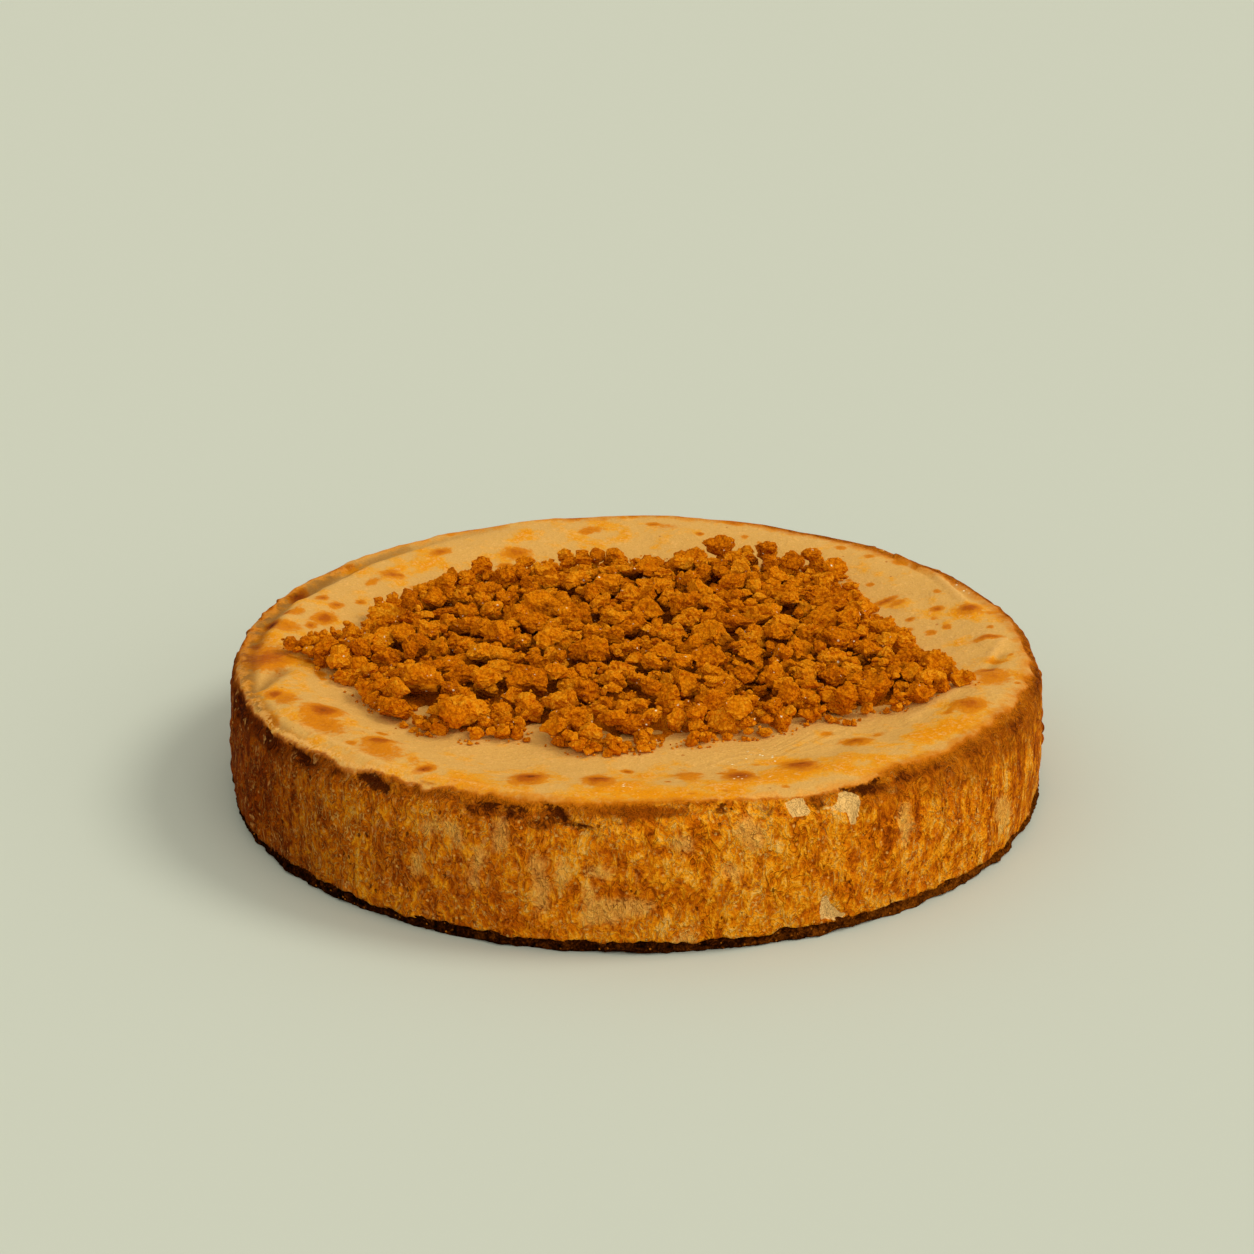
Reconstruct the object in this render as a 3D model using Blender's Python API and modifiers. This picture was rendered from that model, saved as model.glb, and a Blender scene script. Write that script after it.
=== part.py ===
"""A whole baked cheesecake, 24 cm across: a thin biscuit base, the baked filling with its
browned skin, and a heap of broken biscuit crumbs in the middle of the top.

The origin is the middle of the underside and +Z is up. The side that faces -Y is the front.
"""

import random
from math import atan2, cos, degrees, exp, hypot, pi, radians, sin, sqrt

import bmesh
import bpy
from mathutils import Euler, Matrix, Vector, noise

# Driving sizes, in metres
TIN_RADIUS = 0.120  # the round tin that gave the wall its form
BASE_HEIGHT = 0.0044
RIM_HEIGHT = 0.0405  # from the underside to the crest of the rim
NODE_GAP = 0.0004  # left between one piece and the next

# Form of the biscuit base
BASE_INSET = 0.0008  # the biscuit lies this far inside the wall
BASE_FLAT = 0.9  # share of its radius over which it is flat
BASE_ROUND_TOP, BASE_ROUND_FOOT = 0.0008, 0.0006
BASE_ROUGH = ((0.0010, 9.0, 0.003), (0.0006, 15.0, 0.002))  # depth, waves round the cake, layer height

# Form of the wall and rim
WALL_WIDEST = 0.45  # share of the height at which the wall is widest
WALL_TAPER_UP = 0.0022
WALL_TAPER_DOWN = 0.0008
SHOULDER = 0.0052  # rounding where the wall turns over to the top
SHOULDER_SWING = 0.0024  # the rounding is this much larger in front, and smaller behind
FRONT_RISE = 0.0008  # the rim is this much higher in front, and lower behind
FRONT = radians(-90)
RIM_WAVE, RIM_WAVES = 0.0007, 3.2
WALL_WAVE, WALL_WAVES, WALL_WAVE_HEIGHT = 0.0009, 7.0, 0.016
WALL_FROM = (0.80, 0.97)  # the wall's own form fades in between these shares of the radius

# Form of the top
CENTRE_DIP = 0.0036  # the middle has sunk this far below the rim
DIP_FROM, DIP_TO = 0.95, 0.66  # shares of the radius between which the top falls away
PUFF_SHARE, PUFF_WIDTH, PUFF_HEIGHT = 0.84, 0.008, 0.0008  # a swollen ring inside the rim
PUFF_WAVES = 2.6
TOP_WAVE, TOP_WAVE_LENGTH = 0.0005, 0.022
EVEN_WITHIN = 0.05  # inside this distance the top no longer follows the rim's ups and downs
FLAT_WITHIN, LIVELY_FROM = 0.55, 0.75  # shares of the radius: under the heap the top is smooth
GROOVE_SHARE, GROOVE_WIDTH, GROOVE_DEPTH = 0.950, 0.0024, 0.0016
GROOVE_MIDDLE, GROOVE_SPREAD = radians(156), radians(30)

# Large browned blisters: angle in degrees, share of the radius, length and width in mm
BLISTERS = (
    (-154, 0.90, 12, 9),
    (-150, 0.82, 10, 9),
    (-134, 0.83, 9, 8),
    (-107, 0.82, 8, 7),
    (-96, 0.81, 8, 6),
    (-81, 0.76, 8, 6),
    (-62, 0.80, 8, 7),
    (-47, 0.76, 8, 7),
    (-25, 0.86, 10, 9),
    (-11, 0.88, 11, 9),
    (4, 0.88, 8, 6),
    (17, 0.90, 9, 7),
    (26, 0.76, 12, 7),
    (114, 0.78, 10, 7),
    (142, 0.80, 9, 8),
    (168, 0.92, 9, 7),
)
BLISTER_HEIGHT, BLISTER_FULLNESS = 0.0009, 0.55

# Folds of the skin: from (angle, share) to (angle, share), then height and half width in mm
FOLDS = (
    (174, 0.93, 179, 0.80, 1.5, 5.0),
    (-165, 0.96, -171, 0.86, -1.3, 3.0),
    (161, 0.93, 158, 0.78, 1.0, 4.0),
    (-20, 0.93, -16, 0.80, 0.7, 4.0),
)
FOLD_FADE = 0.6  # share of its height that a fold has lost at its end

# Crumb heap: angle in degrees and how far it reaches from the middle, in mm
HEAP_REACH = (
    (2, 81),
    (12, 79),
    (22, 77),
    (32, 83),
    (41, 89),
    (50, 91),
    (60, 88),
    (72, 82),
    (86, 74),
    (100, 79),
    (113, 75),
    (126, 78),
    (140, 82),
    (156, 84),
    (169, 82),
    (175, 92),
    (180, 104),
    (187, 94),
    (198, 88),
    (213, 86),
    (228, 82),
    (244, 70),
    (260, 76),
    (284, 67),
    (300, 69),
    (313, 72),
    (326, 80),
    (336, 90),
    (344, 100),
    (353, 86),
)
CORE_REACH = 0.93  # share of the reach at which the core ends
CORE_MIDDLE, CORE_EDGE = 0.0050, 0.0016
CORE_SLOPE_FROM = 0.45  # share of the reach from which the core gets thinner
CORE_UNEVEN, CORE_UNEVEN_LENGTH = 0.35, 0.012
EDGE_CRUMBS, INNER_CRUMBS = 48, 146
INNER_REACH = 0.88  # share of the reach within which the inner crumbs lie
EDGE_SHARE = (0.90, 0.98)  # shares of the reach between which the outer row lies
CRUMB_LARGEST, CRUMB_SMALLEST = 0.0135, 0.0072
CRUMB_ROUND_FROM = 0.0115  # larger crumbs are rounder, smaller ones blocky
BLOCK_SIDE = 0.7  # side of a blocky crumb, as a share of its size
CRUMB_UNEVEN = (0.72, 1.2)
CRUMB_STRETCH, CRUMB_FLATTEN = (0.9, 1.25), (0.75, 1.0)
CRUMB_SHIFT = 0.05  # a crumb lies up to this angle, in radians, beside its even place
CRUMB_LIFT = (0.05, 0.22)  # a crumb's middle lies this share of its size over the core
CRUMB_CLEAR = (0.0002, 0.0007)  # crumbs stay this far over the core's underside
CRUMB_SEED = 19

# Fineness of the faceted solids
FILLING_SEGMENTS = 104
BASE_SEGMENTS = 72
CORE_SEGMENTS = 48
TOP_ROWS = (0.0, 0.24, 0.44, 0.58, 0.67, 0.74, 0.80, 0.85, 0.89, 0.93)  # shares of the radius
SHOULDER_ROWS, WALL_ROWS, UNDERSIDE_ROW = 5, 7, 0.6
CORE_ROWS = (0.0, 0.30, 0.55, 0.76, 0.90, 1.0)
MERGE = 0.00005
GOLDEN_ANGLE = pi * (3 - sqrt(5))


def smooth_step(value, start, end):
    """0 at start, 1 at end, with a soft turn at both."""
    share = min(1.0, max(0.0, (value - start) / (end - start)))
    return share * share * (3 - 2 * share)


def bell(distance, width):
    return exp(-((distance / width) ** 2))


def angle_between(a, b):
    return abs((a - b + pi) % (2 * pi) - pi)


def polar(angle_degrees, share):
    angle = radians(angle_degrees)
    return Vector((cos(angle), sin(angle))) * share * TIN_RADIUS


def ring_noise(angle, waves, row=0.0):
    """Noise that closes on itself round the cake, from -1 to 1."""
    return noise.noise(Vector((cos(angle) * waves, sin(angle) * waves, row)))


def shoulder(angle):
    return SHOULDER + SHOULDER_SWING * cos(angle - FRONT)


def rim_top(angle):
    return RIM_HEIGHT + FRONT_RISE * cos(angle - FRONT) + RIM_WAVE * ring_noise(angle, RIM_WAVES, 4.0)


def blister_rise(spot):
    """The low mounds where the skin has puffed up and browned."""
    rise = 0.0
    for angle, share, length, width in BLISTERS:
        middle = polar(angle, share)
        away = spot - middle
        along = away.dot(Vector((-middle.y, middle.x)).normalized())
        across = away.dot(middle.normalized())
        rise += BLISTER_HEIGHT * bell(hypot(along / length, across / width) * 1000, BLISTER_FULLNESS)
    return rise


def fold_rise(spot):
    rise = 0.0
    for angle_a, share_a, angle_b, share_b, height, half_width in FOLDS:
        start, end = polar(angle_a, share_a), polar(angle_b, share_b)
        run = end - start
        place = min(1.0, max(0.0, (spot - start).dot(run) / run.length_squared))
        away = (spot - (start + run * place)).length
        rise += height / 1000 * bell(away, half_width / 1000) * (1 - FOLD_FADE * place)
    return rise


def top_relief(x, y):
    """Height of the top over the rim's crest, which is mostly below zero."""
    spot = Vector((x, y))
    distance, angle = hypot(x, y), atan2(y, x)
    share = distance / TIN_RADIUS
    lively = smooth_step(share, FLAT_WITHIN, LIVELY_FROM)
    relief = -CENTRE_DIP * smooth_step(share, DIP_FROM, DIP_TO)
    puff = 0.6 + 0.8 * ring_noise(angle, PUFF_WAVES, 9.0)
    relief += puff * PUFF_HEIGHT * bell(distance - PUFF_SHARE * TIN_RADIUS, PUFF_WIDTH)
    relief += TOP_WAVE * noise.noise((spot / TOP_WAVE_LENGTH).to_3d()) * lively
    groove = bell(distance - GROOVE_SHARE * TIN_RADIUS, GROOVE_WIDTH)
    relief -= GROOVE_DEPTH * groove * bell(angle_between(angle, GROOVE_MIDDLE), GROOVE_SPREAD)
    return relief + (blister_rise(spot) + fold_rise(spot)) * lively


def top_surface(x, y):
    """Height of the filling's top. Towards the middle the rim's unevenness fades out."""
    crest = rim_top(atan2(y, x)) - RIM_HEIGHT
    return RIM_HEIGHT + crest * smooth_step(hypot(x, y), 0.0, EVEN_WITHIN) + top_relief(x, y)


def wall_offset(angle, height):
    """How far the wall stands out from the tin's radius at this height."""
    share = height / RIM_HEIGHT
    if share > WALL_WIDEST:
        offset = -WALL_TAPER_UP * ((share - WALL_WIDEST) / (1 - WALL_WIDEST)) ** 2
    else:
        offset = -WALL_TAPER_DOWN * ((WALL_WIDEST - share) / WALL_WIDEST) ** 2
    return offset + WALL_WAVE * ring_noise(angle, WALL_WAVES, height / WALL_WAVE_HEIGHT)


def filling_point(place):
    """Where a point of the plain turned filling lies: on the top, the shoulder or the wall."""
    distance, angle = hypot(place.x, place.y), atan2(place.y, place.x)
    bottom = BASE_HEIGHT + NODE_GAP
    corner_distance, corner_height = TIN_RADIUS - SHOULDER, RIM_HEIGHT - SHOULDER
    round_off, crest = shoulder(angle), rim_top(angle)
    if place.z <= corner_height:
        height = bottom + (place.z - bottom) * (crest - round_off - bottom) / (corner_height - bottom)
    elif distance > corner_distance:
        turn = atan2(place.z - corner_height, distance - corner_distance)
        distance = TIN_RADIUS - round_off + round_off * cos(turn)
        relief = top_relief(distance * cos(angle), distance * sin(angle))
        height = crest - round_off + (round_off + relief) * sin(turn)
    else:
        distance *= (TIN_RADIUS - round_off) / corner_distance
        height = top_surface(distance * cos(angle), distance * sin(angle))
    distance += smooth_step(distance / TIN_RADIUS, *WALL_FROM) * wall_offset(angle, height)
    return Vector((distance * cos(angle), distance * sin(angle), height))


def base_point(place):
    """Where a point of the plain turned base really lies: its edge is crumbly."""
    distance, angle = hypot(place.x, place.y), atan2(place.y, place.x)
    edge = smooth_step(distance / TIN_RADIUS, *WALL_FROM)
    for depth, waves, layer in BASE_ROUGH:
        distance += edge * depth * ring_noise(angle, waves, place.z / layer)
    return Vector((distance * cos(angle), distance * sin(angle), place.z))


def heap_reach(angle):
    """How far the heap spreads from the middle in this direction."""
    turn = degrees(angle) % 360
    places = [*HEAP_REACH, (HEAP_REACH[0][0] + 360, HEAP_REACH[0][1])]
    for (start, near), (end, far) in zip(places, places[1:]):
        if turn <= end:
            return (near + (far - near) * smooth_step(turn, start, end)) / 1000


def core_depth(x, y):
    """Depth of the packed crumbs that the larger ones lie on."""
    share = hypot(x, y) / heap_reach(atan2(y, x))
    uneven = 1 + CORE_UNEVEN * noise.noise((Vector((x, y)) / CORE_UNEVEN_LENGTH).to_3d())
    fullness = 1 - smooth_step(share, CORE_SLOPE_FROM, 1.0)
    return CORE_EDGE + (CORE_MIDDLE - CORE_EDGE) * uneven * fullness


def core_point(place):
    """The core starts as a disc of radius 1: its lower face is at 0, its upper face at 1."""
    angle = atan2(place.y, place.x)
    distance = hypot(place.x, place.y) * heap_reach(angle) * CORE_REACH
    x, y = distance * cos(angle), distance * sin(angle)
    return Vector((x, y, top_surface(x, y) + NODE_GAP + place.z * core_depth(x, y)))


def material(name, colour, roughness):
    made = bpy.data.materials.new(name)
    made.use_nodes = True
    shader = made.node_tree.nodes["Principled BSDF"]
    shader.inputs["Base Color"].default_value = (*colour, 1.0)
    shader.inputs["Roughness"].default_value = roughness
    shader.inputs["Metallic"].default_value = 0.0
    return made


def turned(name, profile, segments, collection):
    """An object whose mesh is the profile, (distance, height) pairs, turned once round Z."""
    mesh = bpy.data.meshes.new(name)
    points = [(distance, 0.0, height) for distance, height in profile]
    mesh.from_pydata(points, [(i, i + 1) for i in range(len(points) - 1)], [])
    obj = bpy.data.objects.new(name, mesh)
    collection.objects.link(obj)
    screw = obj.modifiers.new("turn", "SCREW")
    screw.steps = screw.render_steps = segments
    screw.use_merge_vertices = True
    screw.merge_threshold = MERGE
    bpy.context.view_layer.update()
    evaluated = obj.evaluated_get(bpy.context.evaluated_depsgraph_get())
    solid = bpy.data.meshes.new_from_object(evaluated)
    obj.modifiers.clear()
    obj.data = solid
    bpy.data.meshes.remove(mesh)
    return obj


def reshape(obj, rule):
    """Moves each point of the object to where the rule puts it."""
    for vertex in obj.data.vertices:
        vertex.co = rule(vertex.co)
    obj.data.update()


def finish(obj, finish_material, smooth_angle):
    obj.data.materials.clear()
    obj.data.materials.append(finish_material)
    obj.data.shade_smooth()
    obj.data.set_sharp_from_angle(angle=radians(smooth_angle))


def spread(start, end, count):
    """Evenly spaced values from start to end, both included."""
    return [start + (end - start) * i / (count - 1) for i in range(count)]


def make_base(collection):
    """The biscuit base, a thin disc with a crumbly edge."""
    edge = TIN_RADIUS - BASE_INSET
    flat = BASE_FLAT * edge
    profile = [(0.0, BASE_HEIGHT), (flat, BASE_HEIGHT), (edge - BASE_ROUND_TOP, BASE_HEIGHT)]
    profile += [(edge, height) for height in spread(BASE_HEIGHT - BASE_ROUND_TOP, BASE_ROUND_FOOT, 3)]
    profile += [(edge - BASE_ROUND_FOOT, 0.0), (flat, 0.0), (0.0, 0.0)]
    base = turned("biscuit_base", profile, BASE_SEGMENTS, collection)
    reshape(base, base_point)
    finish(base, material("biscuit", (0.115, 0.036, 0.008), 0.85), 40)
    return base


def make_filling(collection):
    """The baked filling, from the biscuit up to the browned skin."""
    bottom = BASE_HEIGHT + NODE_GAP
    corner_distance = TIN_RADIUS - SHOULDER
    corner_height = RIM_HEIGHT - SHOULDER
    profile = [(share * TIN_RADIUS, RIM_HEIGHT) for share in TOP_ROWS]
    for turn in spread(pi / 2, 0.0, SHOULDER_ROWS):
        place = (corner_distance + SHOULDER * cos(turn), corner_height + SHOULDER * sin(turn))
        profile.append(place)
    profile += [(TIN_RADIUS, height) for height in spread(corner_height, bottom, WALL_ROWS)[1:]]
    profile += [(TIN_RADIUS * UNDERSIDE_ROW, bottom), (0.0, bottom)]
    filling = turned("baked_filling", profile, FILLING_SEGMENTS, collection)
    reshape(filling, filling_point)
    finish(filling, material("baked skin", (0.55, 0.24, 0.035), 0.55), 50)
    return filling


def crumb_places():
    """(x, y, size) of each crumb that shows: a row along the edge, and the sunflower rule inside."""
    draw = random.Random(CRUMB_SEED)
    turns = []
    for index in range(EDGE_CRUMBS):
        turns.append((2 * pi * index / EDGE_CRUMBS, draw.uniform(*EDGE_SHARE)))
    for index in range(INNER_CRUMBS):
        turns.append((index * GOLDEN_ANGLE, sqrt((index + 0.5) / INNER_CRUMBS) * INNER_REACH))
    places = []
    for turn, share in turns:
        angle = (turn + draw.uniform(-CRUMB_SHIFT, CRUMB_SHIFT)) % (2 * pi)
        distance = share * heap_reach(angle)
        size = CRUMB_SMALLEST + (CRUMB_LARGEST - CRUMB_SMALLEST) * draw.random() ** 2
        places.append((distance * cos(angle), distance * sin(angle), size))
    return sorted(places, key=lambda place: -place[2])


def make_crumb(index, x, y, size, draw, collection):
    """One broken piece of biscuit with few sides, clear of the skin that it lies on."""
    bm = bmesh.new()
    if size > CRUMB_ROUND_FROM:
        bmesh.ops.create_icosphere(bm, subdivisions=1, radius=size / 2)
    else:
        bmesh.ops.create_cube(bm, size=size * BLOCK_SIDE)
    for vertex in bm.verts:
        vertex.co = Vector([value * draw.uniform(*CRUMB_UNEVEN) for value in vertex.co])
    turn = Euler([draw.uniform(0, 2 * pi) for _ in range(3)]).to_matrix().to_4x4()
    stretch = Vector([draw.uniform(*span) for span in (CRUMB_STRETCH, CRUMB_STRETCH, CRUMB_FLATTEN)])
    height = top_surface(x, y) + core_depth(x, y) + draw.uniform(*CRUMB_LIFT) * size
    place = Matrix.Translation((x, y, height))
    bm.transform(place @ Matrix.Diagonal(stretch).to_4x4() @ turn)
    lowest = max(top_surface(vertex.co.x, vertex.co.y) for vertex in bm.verts)
    lowest += NODE_GAP + draw.uniform(*CRUMB_CLEAR)
    for vertex in bm.verts:
        vertex.co.z = max(vertex.co.z, lowest)
    mesh = bpy.data.meshes.new(f"crumb_{index}")
    bm.to_mesh(mesh)
    bm.free()
    crumb = bpy.data.objects.new(mesh.name, mesh)
    crumb.hide_render = True
    crumb.display_type = "WIRE"
    collection.objects.link(crumb)


def keep_largest_shell(mesh):
    """Drops loose scraps and the shells of sealed hollows that the union leaves."""
    bm = bmesh.new()
    bm.from_mesh(mesh)
    shells, seen = [], set()
    for face in bm.faces:
        if face in seen:
            continue
        shell, waiting = [], [face]
        seen.add(face)
        while waiting:
            found = waiting.pop()
            shell.append(found)
            for edge in found.edges:
                fresh = [near for near in edge.link_faces if near not in seen]
                seen.update(fresh)
                waiting.extend(fresh)
        shells.append(shell)
    shells.sort(key=len)
    bmesh.ops.delete(bm, geom=[face for shell in shells[:-1] for face in shell], context="FACES")
    bm.to_mesh(mesh)
    bm.free()


def make_heap(collection, cutters):
    """The heap of biscuit crumbs: a low core with the larger crumbs fused on."""
    profile = [(row, 1.0) for row in CORE_ROWS] + [(row, 0.0) for row in reversed(CORE_ROWS)]
    heap = turned("crumb_heap", profile, CORE_SEGMENTS, collection)
    reshape(heap, core_point)
    draw = random.Random(CRUMB_SEED + 1)
    for index, (x, y, size) in enumerate(crumb_places()):
        make_crumb(index, x, y, size, draw, cutters)
    union = heap.modifiers.new("fuse", "BOOLEAN")
    union.operation = "UNION"
    union.operand_type = "COLLECTION"
    union.collection = cutters
    bpy.context.view_layer.update()
    evaluated = heap.evaluated_get(bpy.context.evaluated_depsgraph_get())
    fused = bpy.data.meshes.new_from_object(evaluated)
    heap.modifiers.clear()
    heap.data = fused
    for crumb in list(cutters.objects):
        bpy.data.objects.remove(crumb)
    keep_largest_shell(fused)
    finish(heap, material("crumb", (0.36, 0.125, 0.012), 0.9), 20)
    return heap


def main():
    for obj in list(bpy.data.objects):
        bpy.data.objects.remove(obj)
    cheesecake = bpy.data.collections.new("baked_cheesecake")
    cutters = bpy.data.collections.new("loose_crumbs")
    bpy.context.scene.collection.children.link(cheesecake)
    bpy.context.scene.collection.children.link(cutters)
    make_base(cheesecake)
    make_filling(cheesecake)
    make_heap(cheesecake, cutters)


main()
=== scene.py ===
"""The looks of a whole baked cheesecake: its browned skin, the biscuit layer and a heap of crumbs.

The origin is the middle of the underside and +Z is up. The side that faces -Y is the front.
"""

import random
from collections import namedtuple
from functools import reduce
from math import atan2, cos, degrees, exp, hypot, pi, radians, sin, sqrt
from types import SimpleNamespace

import bmesh
import bpy
import numpy as np
from mathutils import Euler, Matrix, Vector, noise


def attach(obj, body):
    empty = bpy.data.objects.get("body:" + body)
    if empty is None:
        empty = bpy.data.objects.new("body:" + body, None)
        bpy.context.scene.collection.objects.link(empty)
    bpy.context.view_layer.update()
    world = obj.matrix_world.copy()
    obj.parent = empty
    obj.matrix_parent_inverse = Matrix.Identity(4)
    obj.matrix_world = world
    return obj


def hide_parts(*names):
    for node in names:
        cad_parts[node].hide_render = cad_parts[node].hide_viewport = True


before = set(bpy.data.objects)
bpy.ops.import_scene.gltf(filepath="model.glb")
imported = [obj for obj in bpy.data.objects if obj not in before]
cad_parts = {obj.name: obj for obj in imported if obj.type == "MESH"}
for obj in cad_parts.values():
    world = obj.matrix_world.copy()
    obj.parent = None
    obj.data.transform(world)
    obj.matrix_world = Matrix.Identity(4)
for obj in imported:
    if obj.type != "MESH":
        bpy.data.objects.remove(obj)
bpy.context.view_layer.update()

# The cake's form, the same as that of the solid parts, in metres

TIN_RADIUS = 0.120
BASE_HEIGHT = 0.0044
RIM_HEIGHT = 0.0405
NODE_GAP = 0.0004

BASE_INSET = 0.0008
BASE_FLAT = 0.9
BASE_ROUND_TOP, BASE_ROUND_FOOT = 0.0008, 0.0006
# Unevenness of the base: depth, waves round the cake, and height of a layer
BASE_ROUGH = ((0.0010, 9.0, 0.003), (0.0006, 15.0, 0.002))

WALL_WIDEST = 0.45
WALL_TAPER_UP = 0.0022
WALL_TAPER_DOWN = 0.0008
SHOULDER = 0.0052
SHOULDER_SWING = 0.0024
FRONT_RISE = 0.0008
FRONT = radians(-90)
RIM_WAVE, RIM_WAVES = 0.0007, 3.2
WALL_WAVE, WALL_WAVES, WALL_WAVE_HEIGHT = 0.0009, 7.0, 0.016
WALL_FROM = (0.80, 0.97)

CENTRE_DIP = 0.0036
DIP_FROM, DIP_TO = 0.95, 0.66
PUFF_SHARE, PUFF_WIDTH, PUFF_HEIGHT = 0.84, 0.008, 0.0008
PUFF_WAVES, PUFF_EVEN, PUFF_UNEVEN = 2.6, 0.6, 0.8
TOP_WAVE, TOP_WAVE_LENGTH = 0.0005, 0.022
EVEN_WITHIN = 0.05
FLAT_WITHIN, LIVELY_FROM = 0.55, 0.75
GROOVE_SHARE, GROOVE_WIDTH, GROOVE_DEPTH = 0.950, 0.0024, 0.0016
GROOVE_MIDDLE, GROOVE_SPREAD = radians(156), radians(30)

# Large blisters: angle in degrees, share of the radius, length and width in mm
BLISTERS = (
    (-154, 0.9, 12, 9), (-150, 0.82, 10, 9), (-134, 0.83, 9, 8), (-107, 0.82, 8, 7),
    (-96, 0.81, 8, 6), (-81, 0.76, 8, 6), (-62, 0.8, 8, 7), (-47, 0.76, 8, 7), (-25, 0.86, 10, 9),
    (-11, 0.88, 11, 9), (4, 0.88, 8, 6), (17, 0.9, 9, 7), (26, 0.76, 12, 7), (114, 0.78, 10, 7),
    (142, 0.8, 9, 8), (168, 0.92, 9, 7),
)
BLISTER_HEIGHT, BLISTER_FULLNESS = 0.0009, 0.55

# Folds of the skin: from (angle, share) to (angle, share), then height and half width in mm
FOLDS = (
    (174, 0.93, 179, 0.8, 1.5, 5),
    (-165, 0.96, -171, 0.86, -1.3, 3),
    (161, 0.93, 158, 0.78, 1, 4),
    (-20, 0.93, -16, 0.8, 0.7, 4),
)
FOLD_FADE = 0.6

# Crumb heap: angle in degrees and how far it reaches from the middle, in mm
HEAP_REACH = (
    (2, 81), (12, 79), (22, 77), (32, 83), (41, 89), (50, 91), (60, 88), (72, 82), (86, 74),
    (100, 79), (113, 75), (126, 78), (140, 82), (156, 84), (169, 82), (175, 92), (180, 104),
    (187, 94), (198, 88), (213, 86), (228, 82), (244, 70), (260, 76), (284, 67), (300, 69),
    (313, 72), (326, 80), (336, 90), (344, 100), (353, 86),
)


def smooth_step(value, start, end):
    """0 at start, 1 at end, with a soft turn at both."""
    share = min(1.0, max(0.0, (value - start) / (end - start)))
    return share * share * (3 - 2 * share)


def bell(distance, width):
    return exp(-((distance / width) ** 2))


def angle_between(a, b):
    return abs((a - b + pi) % (2 * pi) - pi)


def from_middle(x, y):
    return hypot(x, y), atan2(y, x)


def level_place(distance, angle):
    return distance * cos(angle), distance * sin(angle)


def polar(angle_degrees, share):
    angle = radians(angle_degrees)
    return Vector((cos(angle), sin(angle))) * share * TIN_RADIUS


def ring_noise(angle, waves, row=0.0):
    """Noise that closes on itself round the cake, from -1 to 1."""
    return noise.noise(Vector((*level_place(waves, angle), row)))


def shoulder(angle):
    return SHOULDER + SHOULDER_SWING * cos(angle - FRONT)


def rim_top(angle):
    return RIM_HEIGHT + FRONT_RISE * cos(angle - FRONT) + RIM_WAVE * ring_noise(angle, RIM_WAVES, 4.0)


def blister_rise(spot):
    """The low mounds where the skin has puffed up and browned."""
    rise = 0.0
    for angle, share, length, width in BLISTERS:
        middle = polar(angle, share)
        away = spot - middle
        along = away.dot(Vector((-middle.y, middle.x)).normalized())
        across = away.dot(middle.normalized())
        rise += BLISTER_HEIGHT * bell(hypot(along / length, across / width) * 1000, BLISTER_FULLNESS)
    return rise


def fold_rise(spot):
    rise = 0.0
    for angle_a, share_a, angle_b, share_b, height, half_width in FOLDS:
        start, end = polar(angle_a, share_a), polar(angle_b, share_b)
        run = end - start
        place = min(1.0, max(0.0, (spot - start).dot(run) / run.length_squared))
        away = (spot - (start + run * place)).length
        rise += height / 1000 * bell(away, half_width / 1000) * (1 - FOLD_FADE * place)
    return rise


def top_relief(x, y):
    """Height of the top over the rim's crest, which is mostly below zero."""
    spot = Vector((x, y))
    distance, angle = from_middle(x, y)
    share = distance / TIN_RADIUS
    lively = smooth_step(share, FLAT_WITHIN, LIVELY_FROM)
    relief = -CENTRE_DIP * smooth_step(share, DIP_FROM, DIP_TO)
    puff = PUFF_EVEN + PUFF_UNEVEN * ring_noise(angle, PUFF_WAVES, 9.0)
    relief += puff * PUFF_HEIGHT * bell(distance - PUFF_SHARE * TIN_RADIUS, PUFF_WIDTH)
    relief += TOP_WAVE * noise.noise((spot / TOP_WAVE_LENGTH).to_3d()) * lively
    groove = bell(distance - GROOVE_SHARE * TIN_RADIUS, GROOVE_WIDTH)
    relief -= GROOVE_DEPTH * groove * bell(angle_between(angle, GROOVE_MIDDLE), GROOVE_SPREAD)
    if lively:
        relief += (blister_rise(spot) + fold_rise(spot)) * lively
    return relief


def top_surface(x, y):
    """Height of the filling's top. Towards the middle the rim's unevenness fades out."""
    crest = rim_top(atan2(y, x)) - RIM_HEIGHT
    return RIM_HEIGHT + crest * smooth_step(hypot(x, y), 0.0, EVEN_WITHIN) + top_relief(x, y)


def wall_offset(angle, height):
    """How far the wall stands out from the tin's radius at this height."""
    share = height / RIM_HEIGHT
    if share > WALL_WIDEST:
        offset = -WALL_TAPER_UP * ((share - WALL_WIDEST) / (1 - WALL_WIDEST)) ** 2
    else:
        offset = -WALL_TAPER_DOWN * ((WALL_WIDEST - share) / WALL_WIDEST) ** 2
    return offset + WALL_WAVE * ring_noise(angle, WALL_WAVES, height / WALL_WAVE_HEIGHT)


def base_point(place):
    """Where a point of the plain turned base really lies: its edge is crumbly."""
    distance, angle = from_middle(place.x, place.y)
    edge = smooth_step(distance / TIN_RADIUS, *WALL_FROM)
    for depth, waves, layer in BASE_ROUGH:
        distance += edge * depth * ring_noise(angle, waves, place.z / layer)
    return Vector((*level_place(distance, angle), place.z))


def heap_reach(angle):
    """How far the heap spreads from the middle in this direction."""
    turn = degrees(angle) % 360
    places = [*HEAP_REACH, (HEAP_REACH[0][0] + 360, HEAP_REACH[0][1])]
    for (start, near), (end, far) in zip(places, places[1:]):
        if turn <= end:
            return (near + (far - near) * smooth_step(turn, start, end)) / 1000


# What the eye sees on top of that form

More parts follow.
